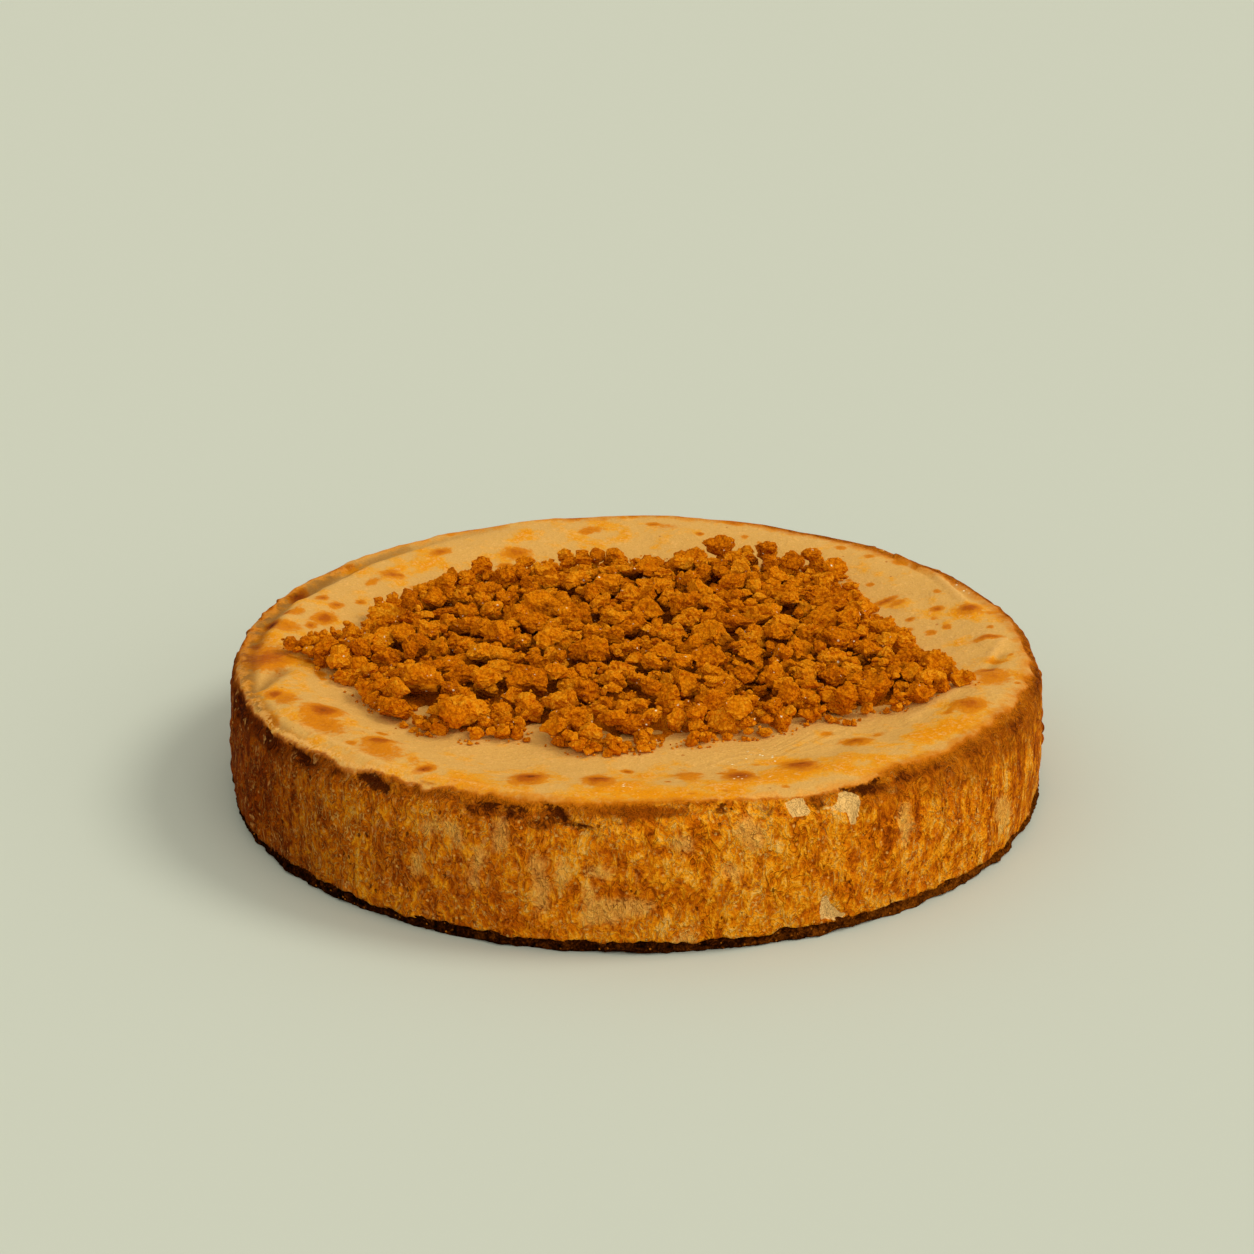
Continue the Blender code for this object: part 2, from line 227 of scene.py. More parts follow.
# How far the bright top reaches over the crest of the rim: angle in degrees, millimetres
BRIGHT_REACH = (
    (-180, 4.2), (-170, 4.6), (-161, 5.6), (-151, 5.2), (-141, 5.8), (-132, 4.4), (-123, 4.6),
    (-115, 3.3), (-107, 2.7), (-99, 3), (-89, 2.4), (-84, 1.9), (-79, 2.6), (-71, 4), (-65, 3.9),
    (-58, 4.4), (-53, 2.8), (-45, 2.4), (-33, 2.5), (-24, 2.9), (-18, 3.5), (-8, 2.6), (4, 1.4),
    (16, 1), (28, -1), (44, -2.4), (60, -1.8), (74, 0.2), (110, 1.2), (135, 2.2), (165, 3.4),
    (180, 4.2),
)

# The wall's tone round the cake: angle in degrees, then lightness, lowest on the left, which faces away
# from the light, where it is partly a darker crust and partly painted shade, the depth in mm of the
# dark band under the rim, how dark that band is, how far the colour turns to yellow, how strongly the
# wall is streaked upright, and how pale and flaky the lip above the dark band is
TONE, BAND_DEPTH, BAND, YELLOW, STREAKY, LIP = range(1, 7)
WALL_TONE = (
    (-180, 0.05, 12, 0.85, 0, 0.1, 0.2),
    (-160, 0.07, 12, 0.9, 0, 0.1, 0.6),
    (-150, 0.18, 9, 0.9, 0.5, 0.1, 1),
    (-140, 0.32, 6, 0.8, 1.3, 0.1, 1),
    (-128, 0.5, 5, 0.9, 1.2, 0.2, 0.9),
    (-118, 0.54, 6, 0.7, 0.6, 0.2, 0.5),
    (-108, 0.59, 8, 0.9, 0.2, 0.2, 0.1),
    (-99, 0.67, 8, 0.8, 0.2, 0.3, 0.1),
    (-92, 0.7, 9, 0.65, 0.3, 0.2, 0),
    (-84, 0.76, 6, 0.5, 0.4, 0.2, 0.1),
    (-78, 0.84, 5, 0.2, 0.7, 0.2, 0.5),
    (-68, 0.9, 8, 0.3, 0.6, 0.3, 0.5),
    (-58, 0.74, 11, 0.7, 0.3, 0.5, 0.2),
    (-46, 0.74, 13, 1, 0.3, 0.9, 0),
    (-30, 0.74, 15, 1.1, 0.3, 1, 0),
    (-16, 0.68, 16, 1.1, 0.2, 1, 0),
    (10, 0.55, 12, 0.7, 0.2, 0.8, 0.1),
    (60, 0.6, 9, 0.7, 0.2, 0.6, 0),
    (110, 0.55, 10, 0.8, 0.2, 0.4, 0.1),
    (150, 0.4, 12, 0.7, 0.2, 0.3, 0.3),
    (180, 0.05, 12, 0.85, 0, 0.1, 0.2),
)

# Browned spots on the top: angle in degrees, share of the radius, length and width in mm, strength
SPOTS = (
    (-151, 0.84, 11, 9, 1.1), (-147, 0.875, 22, 12, 0.6), (-135.2, 0.832, 9, 8, 1),
    (-132, 0.87, 17, 12, 0.55), (-122.4, 0.888, 4, 7, 1.15), (-124.9, 0.87, 8, 8, 0.35),
    (-107, 0.82, 9, 12, 1.12), (-96, 0.8, 8, 11, 1.12), (-84.8, 0.802, 1.6, 1.6, 1.1),
    (-81, 0.76, 9, 11, 0.6), (-73, 0.8, 8, 11, 1.15), (-62, 0.795, 8, 12, 1.1),
    (-47, 0.75, 8, 9, 0.85), (-25.2, 0.869, 10, 9, 0.9), (-12, 0.885, 14, 11, 0.62),
    (-9.5, 0.865, 6, 7, 0.9), (-13.9, 0.944, 1.6, 1.6, 1.1), (-4.7, 0.885, 4, 7, 0.5),
    (4.2, 0.873, 3.5, 9, 0.95), (17.5, 0.885, 7, 7, 1), (15, 0.93, 3, 8, 0.6),
    (31, 0.745, 3.5, 10, 0.9), (28, 0.76, 4, 7, 0.6), (21, 0.819, 4, 4, 0.9),
    (20, 0.738, 2.6, 3, 0.9), (15.6, 0.71, 2.6, 3, 0.9), (12.9, 0.8, 4, 2.6, 0.8),
    (41.7, 0.932, 5, 6, 0.9), (27, 0.965, 5, 3, 0.8), (77, 0.99, 7, 4, 0.9),
    (73.7, 0.955, 6, 5, 0.95), (97.8, 0.88, 9, 5, 0.62), (84.4, 0.885, 9, 5, 0.4),
    (78.3, 0.85, 2.4, 2.6, 0.9), (70.3, 0.865, 3, 3, 0.7), (99, 0.985, 4, 3, 0.9),
    (114, 0.78, 9, 7, 0.8), (127, 0.86, 7, 5, 0.8), (140.5, 0.823, 6, 8, 0.75),
    (145.2, 0.83, 8, 4, 0.6), (142, 0.95, 4.5, 2.5, 0.8), (156.2, 0.952, 9, 6, 1.15),
    (156.7, 0.872, 5, 4, 0.85), (158, 0.82, 5.5, 4, 0.85), (164.2, 0.815, 8, 6, 1.05),
    (153.4, 0.788, 4, 3, 0.8), (169.7, 0.926, 5, 4, 1.35), (171, 0.885, 9, 9, 0.62),
    (164.4, 0.89, 7, 5, 0.6), (-176.5, 0.872, 3, 3, 0.9), (-175.5, 0.905, 18, 15, 0.92),
    (179, 0.935, 7, 4, 0.85), (-160.3, 0.912, 6, 5, 1), (-157.5, 0.895, 9, 8, 0.6),
    (-152, 0.966, 13, 4.5, 0.55),
)
SPOT_FULLNESS = 0.30
HALO_SIZE, HALO_STRENGTH = 1.8, 0.6
SMALL_SPOTS, SPOT_SEED = 70, 5
SMALL_SPOT_SHARE = (0.60, 0.98)
SMALL_SPOT_SIZE = (1.6, 3.6)

# Orange bloom of the skin: angle in degrees, share of the radius, length and width in mm, strength
BLOOMS = (
    (-150, 0.92, 26, 12, 0.55), (-134, 0.9, 24, 12, 0.6), (-112, 0.88, 50, 20, 0.8),
    (-88, 0.87, 70, 22, 0.95), (-62, 0.85, 60, 18, 1), (-38, 0.88, 50, 16, 0.9),
    (-14, 0.87, 26, 12, 0.6), (10, 0.9, 26, 8, 0.2), (52, 0.86, 30, 16, 0.35),
    (96, 0.86, 70, 24, 0.6), (128, 0.84, 60, 22, 0.6), (158, 0.86, 40, 20, 0.5),
    (176, 0.9, 26, 18, 0.9), (-160, 0.9, 22, 12, 0.9),
)

# Creases of the skin with painted shade along them: from (angle, radius) to (angle, radius), the depth
# and the half width in mm, and how dark the painted shade is; a negative depth is a pale ridge with a
# painted highlight. Rows of depth 0.05 paint only shade, on the left lip, which faces away from the
# light
CREASES = (
    (168, 116.5, 161, 113.2, 0.9, 2.4, 0.9), (161, 113.2, 153, 110.7, 0.8, 2.4, 0.9),
    (153, 110.7, 141, 111.2, 0.6, 2, 0.8), (141, 111.2, 126, 113.5, 0.4, 2, 0.5),
    (178, 114.5, 170, 113.5, 0.7, 3, 0.9), (-141, 115.8, -152, 116, 0.05, 2.4, 0.8),
    (-152, 116, -164, 115.5, 0.05, 2.8, 1.05), (-164, 115.5, -180, 115, 0.05, 3.6, 1.2),
    (180, 115, 162, 114.6, 0.05, 4.2, 1.3), (162, 114.6, 146, 114, 0.05, 3.8, 1.2),
    (146, 114, 130, 113.6, 0.05, 3.2, 0.9), (130, 113.6, 112, 114.6, 0.05, 2.6, 0.6),
    (-171, 104, -165, 111.5, 0.8, 3, 0.8), (-165, 111.5, -163, 116, 0.6, 3, 0.6),
    (44, 114.5, 33, 111.5, -0.7, 1.6, 0.6), (33, 111.5, 21, 107.2, -0.8, 1.6, 0.7),
    (46, 116, 20, 111.5, 0.5, 2.2, 0.35), (3, 109, -4, 103.5, -0.6, 1.8, 0.5),
    (-2, 108, -9, 104, 0.6, 2, 0.6), (-13, 101, -32, 91, -0.5, 2.2, 0.5),
    (-149, 111.5, -128, 111.5, -0.4, 1.6, 0.5), (-128, 111.5, -104, 111, -0.3, 1.8, 0.4),
)

# Patches where the skin has come away from the pale inside. Each corner is an angle in degrees
# and a distance past the crest of the rim in mm
TORN = (
    ((-69.8, 5.6), (-68.1, 4.5), (-67.1, 4.9), (-66.7, 8.2), (-67, 9), (-69.4, 9.5)),
    ((-61.6, 4.9), (-60.4, 5.7), (-59, 7.2), (-59.4, 9.2), (-60.5, 14.5), (-61, 14.1),
     (-61.5, 10.5), (-63.3, 9), (-64.7, 8.6), (-64.7, 7.9), (-62.9, 8.2), (-62.3, 6.7)),
    ((-65.2, 33.3), (-64.5, 33), (-64, 35.9), (-62.9, 37.6), (-61.3, 39.6), (-62.8, 40.2),
     (-65.2, 39.2), (-65.5, 36.8)),
)

# Fissures under the rim, sunk in and filled with near-black painted shade, given in the same way
FISSURES = (
    ((-61.6, 3.8), (-60.2, 5), (-58.6, 4.8), (-57.3, 5), (-54.9, 3.8), (-54.6, 5), (-58.4, 6.9),
     (-60.6, 6.3)),
    ((-102.8, 4.2), (-101.5, 4.6), (-100, 5.5), (-99.6, 6.6), (-98.6, 8.6), (-99.3, 8.8),
     (-101, 6.4), (-102.6, 5.6)),
    ((-100, 7.6), (-98.2, 9), (-95.8, 9.2), (-96.2, 9.9), (-98.4, 10)),
    ((-112, 5.4), (-108.6, 5.7), (-105.5, 5.8), (-104.6, 6.8), (-107, 7.1), (-110.6, 6.5)),
    ((-130.8, 6.5), (-128.3, 4.7), (-124.9, 6.9), (-125.1, 8.7), (-127.4, 7.9), (-129.6, 8.2)),
    ((-145.4, 6), (-142.4, 6.6), (-139.6, 7.2), (-140, 8.6), (-143.4, 7.6)),
    ((-152.4, 6.2), (-149.8, 6.4), (-148.6, 8), (-150.8, 8.6)),
    ((-79.4, 3.4), (-78.2, 3.6), (-77.2, 5), (-78.6, 4.9)),
)

# Pale smears on the wall, given in the same way
SMEARS = (
    ((-96.2, 25.8), (-95.4, 26.5), (-95, 29.9), (-91.8, 28.9), (-88.2, 30), (-87.9, 32),
     (-93.1, 35.8), (-96.7, 36.5)),
    ((-99.8, 19.9), (-98.9, 19), (-98.4, 21.2), (-98.9, 24.1), (-99.7, 26.6), (-100.1, 23.7)),
    ((-96.1, 20.9), (-94.5, 19.9), (-93.1, 21.2), (-93.8, 22.7), (-95.8, 22.9)),
    ((-85, 11.9), (-83, 11.9), (-82.8, 15.9), (-83.9, 15.2), (-85, 13.5)),
    ((-76.8, 8.8), (-75.3, 7.8), (-73.4, 11.6), (-73.4, 15.6), (-75, 16.7), (-77, 11.6)),
    ((-78.7, 21), (-77.1, 20.4), (-76.1, 22.6), (-76.9, 24.9), (-78.4, 23.3)),
    ((-85.5, 41.8), (-84.1, 39.2), (-83, 37.8), (-82.5, 39.7), (-84.8, 43.1)),
    ((-103.4, 18.6), (-101.6, 19.4), (-101.2, 26), (-101.5, 32.9), (-102.6, 34.2), (-103.2, 24.9)),
    ((-108.5, 10.1), (-107.4, 8.4), (-106.7, 12.2), (-106.8, 16.6), (-108.1, 17.5), (-108.5, 14.3)),
    ((-118.8, 13.5), (-116.7, 12), (-117, 14.4), (-118.4, 16.1)),
    ((-115.6, 11.6), (-113.8, 12.7), (-112.9, 15.7), (-113.4, 17.9), (-114.9, 15.3)),
    ((-110.9, 17.9), (-109.8, 18.6), (-110.3, 24.5), (-111.2, 28.7), (-111.7, 27.4)),
    ((-120.1, 25), (-118.8, 22.9), (-118.7, 26.7), (-119.8, 28.5)),
    ((-33.1, 23.7), (-30, 24.6), (-27.9, 31.6), (-30.1, 34.8), (-32.6, 29.7)),
    ((-52.9, 13.9), (-51.5, 13.4), (-51.1, 20.6), (-52.4, 24.3), (-53.2, 20)),
)

# Softly browned shoulder: angle in degrees, mm past the crest, their reach, and strength
SOFT = (
    (-89.5, 4.9, 7.5, 2.2, 1.1),
    (-64.5, 5.2, 2, 1.6, 0.7),
    (-107, 5.2, 3, 1.4, 0.7),
    (-38.5, 3.2, 3.4, 1.4, 0.95),
    (-119.5, 2.6, 2.2, 1.2, 0.6),
)

# Places where the top glistens with painted glints: angle, share of the radius, length and width in mm,
# strength
GLINT_PLACES = (
    (-92, 0.83, 10, 6, 0.9),
    (-72, 0.83, 14, 5, 0.9),
    (-66, 0.68, 22, 12, 0.7),
    (26, 0.93, 16, 3, 0.9),
    (2, 0.93, 8, 4, 0.6),
)

# Near-black places just under the rim: angle in degrees, height in mm, their reach, and strength
UNDER_RIM_DARKS = (
    (-101, 38.2, 3, 1.6, 1.1), (-96.5, 36.4, 2.4, 0.9, 0.8), (-90, 37.4, 6, 1.2, 0.5),
    (-111, 37.6, 3, 1.3, 1), (-106.5, 37.6, 3, 1.2, 1), (-102.5, 36.4, 2.6, 1.4, 1),
    (-98.8, 37, 2.6, 1.2, 0.9), (-127.5, 38.3, 3.2, 1.6, 1), (-134, 37.5, 3, 1.4, 0.8),
    (-141, 36.5, 4, 2.2, 1), (-151, 36, 6, 3.2, 1), (-163, 35.5, 7, 3.5, 1),
    (-65.2, 38.6, 1.5, 2.4, 0.9), (-78.8, 39.4, 1.2, 0.9, 1), (-72.6, 38, 1.6, 3.6, 0.6),
    (-56, 38.6, 2.6, 1.5, 1), (-51, 39, 2.8, 1.4, 0.95), (-45.5, 38.8, 3, 1.5, 0.8),
    (-37, 38, 4.5, 2, 0.7), (-25, 36.5, 6, 2.5, 0.7), (-8, 37, 8, 2.5, 0.8),
    (30, 37.5, 12, 2.2, 0.9), (66, 38, 12, 1.8, 0.9), (120, 38, 14, 2.2, 0.8),
    (165, 36.5, 12, 3, 0.9),
)

SKIN_BOTTOM = BASE_HEIGHT + NODE_GAP
CORNER_DISTANCE, CORNER_HEIGHT = TIN_RADIUS - SHOULDER, RIM_HEIGHT - SHOULDER
SKIN_SEGMENTS = 740
SKIN_MIDDLE_SHARES = (0.0, 0.2, 0.34)
SKIN_TOP_FROM = 0.42
SKIN_TOP_ROWS, SKIN_SHOULDER_ROWS, SKIN_WALL_ROWS = 62, 14, 46
UNDER_EDGE, UNDER_MIDDLE, UNDER_LIFT = 0.965, 0.6, 0.0003
BASE_SEGMENTS, BASE_EDGE_ROWS = 720, 8
MERGE_WITHIN = 0.00002
OUTSIDE = 5.0  # patches are not looked for farther away than this, in mm
UNDERSIDE = 80.0  # stands for the distance over the crest on the filling's underside

# Fine relief in metres. A layer of noise is its depth and its scale
TOP_GRAIN, TOP_GRAIN_SCALE = 0.00016, 190
WALL_ROUGH = ((0.00034, 210), (0.00028, 480))
NUB_HEIGHT, NUB_SCALE = 0.0026, 330
NUB_SHIFT = Vector((7.0, 3.0, 1.0))
# A nub rises where its noise is over the first of these, plus the second where the wall is light
NUB_FROM, NUB_FROM_LIGHT = 0.22, 0.24
RIM_CREASE_DEPTH, RIM_CREASE_SCALE = 0.0010, 130
RIM_CREASE_PAST, RIM_CREASE_WIDTH = 2.2, 1.3
LIP_SWELL, LIP_LUMPS, LIP_SCALE = 0.00030, 0.0006, 230
LIP_BEFORE, LIP_WIDTH, LIP_LIFT = 0.8, 1.5, 0.5
ROUGH_WALL = (-1.0, 4.0)
HEM_FROM, HEM_SHORTER, HEM_FRAY = 0.0105, 0.0012, 0.0011
HEM_SCALE, HEM_FINE_SCALE, HEM_FINE = 160, 420, 0.8
HEM_SHIFT = Vector((0.0, 0.0, 0.01))
CREASES_END = 3.0
TORN_DEPTH, FISSURE_DEPTH = 0.0008, 0.0010
TORN_SOFT, FISSURE_SOFT = 0.5, 0.6  # how far outside its outline, in mm, a patch begins to sink in
TOP_BUMP, WALL_BUMP, BISCUIT_BUMP = 0.00032, 0.00095, 0.0008
BISCUIT_ROUGH = ((0.0007, 330), (0.0005, 750))
BISCUIT_ROUGH_FROM = (0.93, 0.98)

# Fine ripples of the skin: share of the radius and angle in degrees, each with its reach
RIPPLE_SHARE, RIPPLE_WIDTH, RIPPLE_ANGLE, RIPPLE_SPREAD = 0.66, 0.055, -60, 17
# Where the shade of the creases and the dark band fade out, in mm and in depths of the band
SHADE_END, SHADE_FADE = 6.5, 2.5
BAND_END, BAND_CURVE = 1.25, 0.8
UNDER_RIM_DARKS_FROM = -0.8
# The side on which the biscuit is lighter: angle and reach in degrees
LIGHTER_ANGLE, LIGHTER_SPREAD = -35, 40


def table_value(table, angle, column=1):
    """A value read from a table of angles in degrees, between its rows."""
    turn = (degrees(angle) + 180) % 360 - 180
    for low, high in zip(table, table[1:]):
        if turn <= high[0]:
            return low[column] + (high[column] - low[column]) * (turn - low[0]) / (high[0] - low[0])
    return table[-1][column]


def layered_noise(spot, layers):
    return sum(depth * noise.noise(spot * scale) for depth, scale in layers)


def outwards(angle):
    """The level direction away from the middle."""
    return Vector((cos(angle), sin(angle), 0.0))


def bells(values, width):
    """The bell curve at each value of an array."""
    return np.exp(-((values / width) ** 2))


def spun(profile, segments):
    """A bmesh turned from a profile of (distance, height) pairs."""
    bm = bmesh.new()
    points = [bm.verts.new((distance, 0.0, height)) for distance, height in profile]
    edges = [bm.edges.new(pair) for pair in zip(points, points[1:])]
    bmesh.ops.spin(
        bm,
        geom=points + edges,
        cent=(0, 0, 0),
        axis=(0, 0, 1),
        angle=2 * pi,
        steps=segments,
        use_merge=True,
    )
    bmesh.ops.remove_doubles(bm, verts=bm.verts, dist=MERGE_WITHIN)
    bmesh.ops.recalc_face_normals(bm, faces=bm.faces)
    return bm


def linked_object(name, bm, material):
    """An object in the scene, made from a bmesh."""
    mesh = bpy.data.meshes.new(name)
    bm.to_mesh(mesh)
    bm.free()
    mesh.materials.append(material)
    obj = bpy.data.objects.new(name, mesh)
    bpy.context.scene.collection.objects.link(obj)
    return obj


def made_object(name, bm, finish, node_name, smooth=True):
    """The finished piece: it stands for a node of the frame and rides on its body."""
    obj = linked_object(name, bm, finish)
    if smooth:
        obj.data.shade_smooth()
    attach(obj, "root")
    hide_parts(node_name)
    return obj


def add_values(obj, name, values):
    attribute = obj.data.attributes.new(name, "FLOAT", "POINT")
    attribute.data.foreach_set("value", np.asarray(values, dtype=np.float32))


def mesh_points(obj):
    """The place of each vertex, and its angle round the cake in degrees."""
    points = np.zeros(len(obj.data.vertices) * 3)
    obj.data.vertices.foreach_get("co", points)
    points = points.reshape(-1, 3)
    return points, np.degrees(np.arctan2(points[:, 1], points[:, 0]))


# Sockets of a mix node: the two that are mixed and the result, for a colour and for a vector
COLOUR_A, COLOUR_B, COLOUR_MIXED = 6, 7, 2
VECTOR_A, VECTOR_B, VECTOR_MIXED = 4, 5, 1


class Finish:
    """A material under construction: small helpers that add a node and give its output."""

    def __init__(self, name, roughness, specular):
        self.material = bpy.data.materials.new(name)
        self.material.use_nodes = True
        self.tree = self.material.node_tree
        self.shader = self.tree.nodes["Principled BSDF"]
        self.shader.inputs["Roughness"].default_value = roughness
        self.shader.inputs["Specular IOR Level"].default_value = specular
        self.where = self.add("ShaderNodeTexCoord").outputs["Object"]

    def add(self, kind, inputs=(), **settings):
        made = self.tree.nodes.new(kind)
        for name, value in settings.items():
            setattr(made, name, value)
        for key, value in dict(inputs).items():
            self.put(made.inputs[key], value)
        return made

    def put(self, socket, value):
        if isinstance(value, bpy.types.NodeSocket):
            self.tree.links.new(value, socket)
        else:
            socket.default_value = value

    def done(self, colour, normal):
        self.put(self.shader.inputs["Base Color"], colour)
        self.put(self.shader.inputs["Normal"], normal)
        return self.material

    def math(self, operation, a, b=0.0):
        return self.add("ShaderNodeMath", {0: a, 1: b}, operation=operation).outputs[0]

    def vector(self, operation, a, b):
        return self.add("ShaderNodeVectorMath", {0: a, 1: b}, operation=operation).outputs[0]

    def share(self, *factors):
        """The product of all factors."""
        return reduce(lambda a, b: self.math("MULTIPLY", a, b), factors)

    def plus(self, *terms):
        """The sum of all terms."""
        return reduce(lambda a, b: self.math("ADD", a, b), terms)

    def total(self, start, *swings):
        """start plus the swing of each noise about its middle, times its weight."""
        return self.plus(start, *(self.share(self.math("SUBTRACT", a, 0.5), b) for a, b in swings))

    def between(self, value, low, high):
        """0 at low and 1 at high, with a soft turn at both."""
        inputs = {"Value": value, "From Min": low, "From Max": high}
        return self.add("ShaderNodeMapRange", inputs, interpolation_type="SMOOTHSTEP").outputs[0]

    def line(self, value, outer, inner):
        """1 along the thin line where a noise crosses its middle, 0 beside it."""
        return self.between(self.math("ABSOLUTE", self.math("SUBTRACT", value, 0.5)), outer, inner)

    def value(self, name):
        """What add_values has stored under this name."""
        return self.add("ShaderNodeAttribute", attribute_name=name).outputs["Fac"]

    def scaled(self, scale):
        return self.vector("MULTIPLY", self.where, scale)

    def warped(self, where, scale, reach):
        """The place moved about by a part of reach, for curled patterns."""
        shift = self.add("ShaderNodeTexNoise", {"Vector": where, "Scale": scale, "Detail": 1.0})
        centred = self.vector("SUBTRACT", shift.outputs["Color"], (0.5, 0.5, 0.5))
        return self.vector("ADD", where, self.vector("MULTIPLY", centred, (reach, reach, reach)))

    def noise(self, scale, detail=1.0, roughness=0.5, distortion=0.0, where=None):
        inputs = {
            "Vector": self.where if where is None else where,
            "Scale": scale,
            "Detail": detail,
            "Roughness": roughness,
            "Distortion": distortion,
        }
        return self.add("ShaderNodeTexNoise", inputs).outputs["Fac"]

    def cells(self, scale, where=None):
        """The distance from the middle of the nearest cell."""
        inputs = {"Vector": self.where if where is None else where, "Scale": scale}
        return self.add("ShaderNodeTexVoronoi", inputs).outputs["Distance"]

    def ramp(self, value, stops):
        node = self.add("ShaderNodeValToRGB", {"Fac": value})
        elements = node.color_ramp.elements
        while len(elements) < len(stops):
            elements.new(0.5)
        for element, (position, colour) in zip(elements, stops):
            element.position = position
            element.color = (*colour, 1.0)
        return node.outputs["Color"]

    def lay(self, under, over, *shares, blend="MIX"):
        """One colour laid over another, as strongly as the product of the shares."""
        node = self.add("ShaderNodeMix", data_type="RGBA", blend_type=blend)
        self.put(node.inputs["Factor"], self.share(*shares))
        for socket, value in ((COLOUR_A, under), (COLOUR_B, over)):
            self.put(node.inputs[socket], (*value, 1.0) if isinstance(value, tuple) else value)
        return node.outputs[COLOUR_MIXED]

    def tinted(self, colour, tint):
        return self.lay(colour, tint, 1.0, blend="MULTIPLY")

    def bump(self, height, distance):
        return self.add("ShaderNodeBump", {"Height": height, "Distance": distance}).outputs["Normal"]


# Colours of the top
TOP_PALE = (0.735, 0.39, 0.086)
TOP_GOLD = (0.82, 0.34, 0.018)
TOP_ORANGE = (0.83, 0.285, 0.0015)
TOP_AMBER = (0.69, 0.215, 0.004)
SPOT_BROWN = (0.46, 0.1, 0.0012)
SPOT_DARK = (0.15, 0.026, 0.0006)
CREASE_SHADE_TINT = (0.42, 0.34, 0.24)

# Colours of the rim
LIP_PALE = (0.86, 0.46, 0.12)
SOFT_BROWN = (0.31, 0.06, 0.0005)
RIM_BROWN = (0.56, 0.15, 0.002)
FISSURE_SHADE = (0.075, 0.012, 0.0003)
INSIDE_CREAM = (0.9, 0.52, 0.155)
WET_GLINT = (1, 0.86, 0.5)
GRAIN_TINT = (0.86, 0.78, 0.66)

# Colours of the wall
WALL_DARKEST = (0.26, 0.042, 0.0004)
WALL_BROWN = (0.52, 0.104, 0.0008)
WALL_MIDDLE = (0.74, 0.19, 0.0014)
WALL_LIGHT = (0.93, 0.338, 0.008)
WALL_PALE = (0.88, 0.45, 0.09)
WALL_STOPS = (
    (0.14, WALL_DARKEST), (0.34, WALL_BROWN), (0.52, WALL_MIDDLE), (0.7, WALL_LIGHT), (0.88, WALL_PALE),
)
WALL_SMEAR = (0.8, 0.37, 0.06)
YELLOW_TINT = (1, 1.16, 1.2)
PIT_SHADE = (0.1, 0.018, 0.001)
BAND_DARK, BAND_BROWN = (0.3, 0.062, 0.0008), (0.5, 0.125, 0.002)
UNDER_RIM_BLACK, UNDER_RIM_BROWN = (0.09, 0.013, 0.0004), (0.36, 0.072, 0.001)
SIDE_SHADE_TINT = (0.38, 0.25, 0.22)
SCRAP_TAN = (0.56, 0.25, 0.06)
FLECK_TAN = (0.62, 0.27, 0.06)

# Colours of biscuit and crumbs
BISCUIT_STOPS = (
    (0.42, (0.003, 0.0008, 0.0002)), (0.52, (0.022, 0.0045, 0.0004)),
    (0.6, (0.075, 0.016, 0.0008)), (0.74, (0.24, 0.06, 0.003)),
)
BISCUIT_FLECK = (0.46, 0.13, 0.009)
CRUMB_STOPS = (
    (0.28, (0.36, 0.07, 0.0006)), (0.4, (0.6, 0.15, 0.001)),
    (0.5, (0.76, 0.225, 0.0022)), (0.62, (0.86, 0.34, 0.012)),
)
CREVICE_SHADE_TINT = (0.26, 0.16, 0.1)
CRUMB_GLINT = (1, 0.84, 0.52)
CRUMB_TINT, BED_TINT = (1, 1, 1), (0.86, 0.8, 0.8)


def skin_patterns(f):
    """The noises that the parts of the skin share, and where the top ends and the wall begins."""
    upright = f.scaled((1, 1, 0.62))
    curled = f.warped(upright, 260, 0.01)
    p = SimpleNamespace(
        upright=upright,
        curled=curled,
        wide=f.noise(85, 2),
        coarse=f.noise(260, 3, 0.6),
        fine=f.noise(1000, 2, 0.6),
        mottle=f.noise(130, 4, 0.55),
        speckle=f.noise(620, 3, 0.6),
        blotch=f.noise(125, 3, 0.55, 0.6, where=upright),
        patch=f.noise(300, 3, 0.55, 0.8, where=upright),
        stroke=f.noise(540, 2, where=curled),
        grit=f.noise(1300, 2, 0.6),
        streak=f.noise(215, 3, 0.55, 0.3, where=f.scaled((1, 1, 0.15))),
        tone=f.value("tone"),
        lip=f.value("lip"),
    )
    p.edge = f.total(f.value("over"), (p.wide, 6.5), (p.coarse, 3.2), (p.fine, 1.2))
    p.side = f.between(p.edge, -0.8, 1.3)
    return p


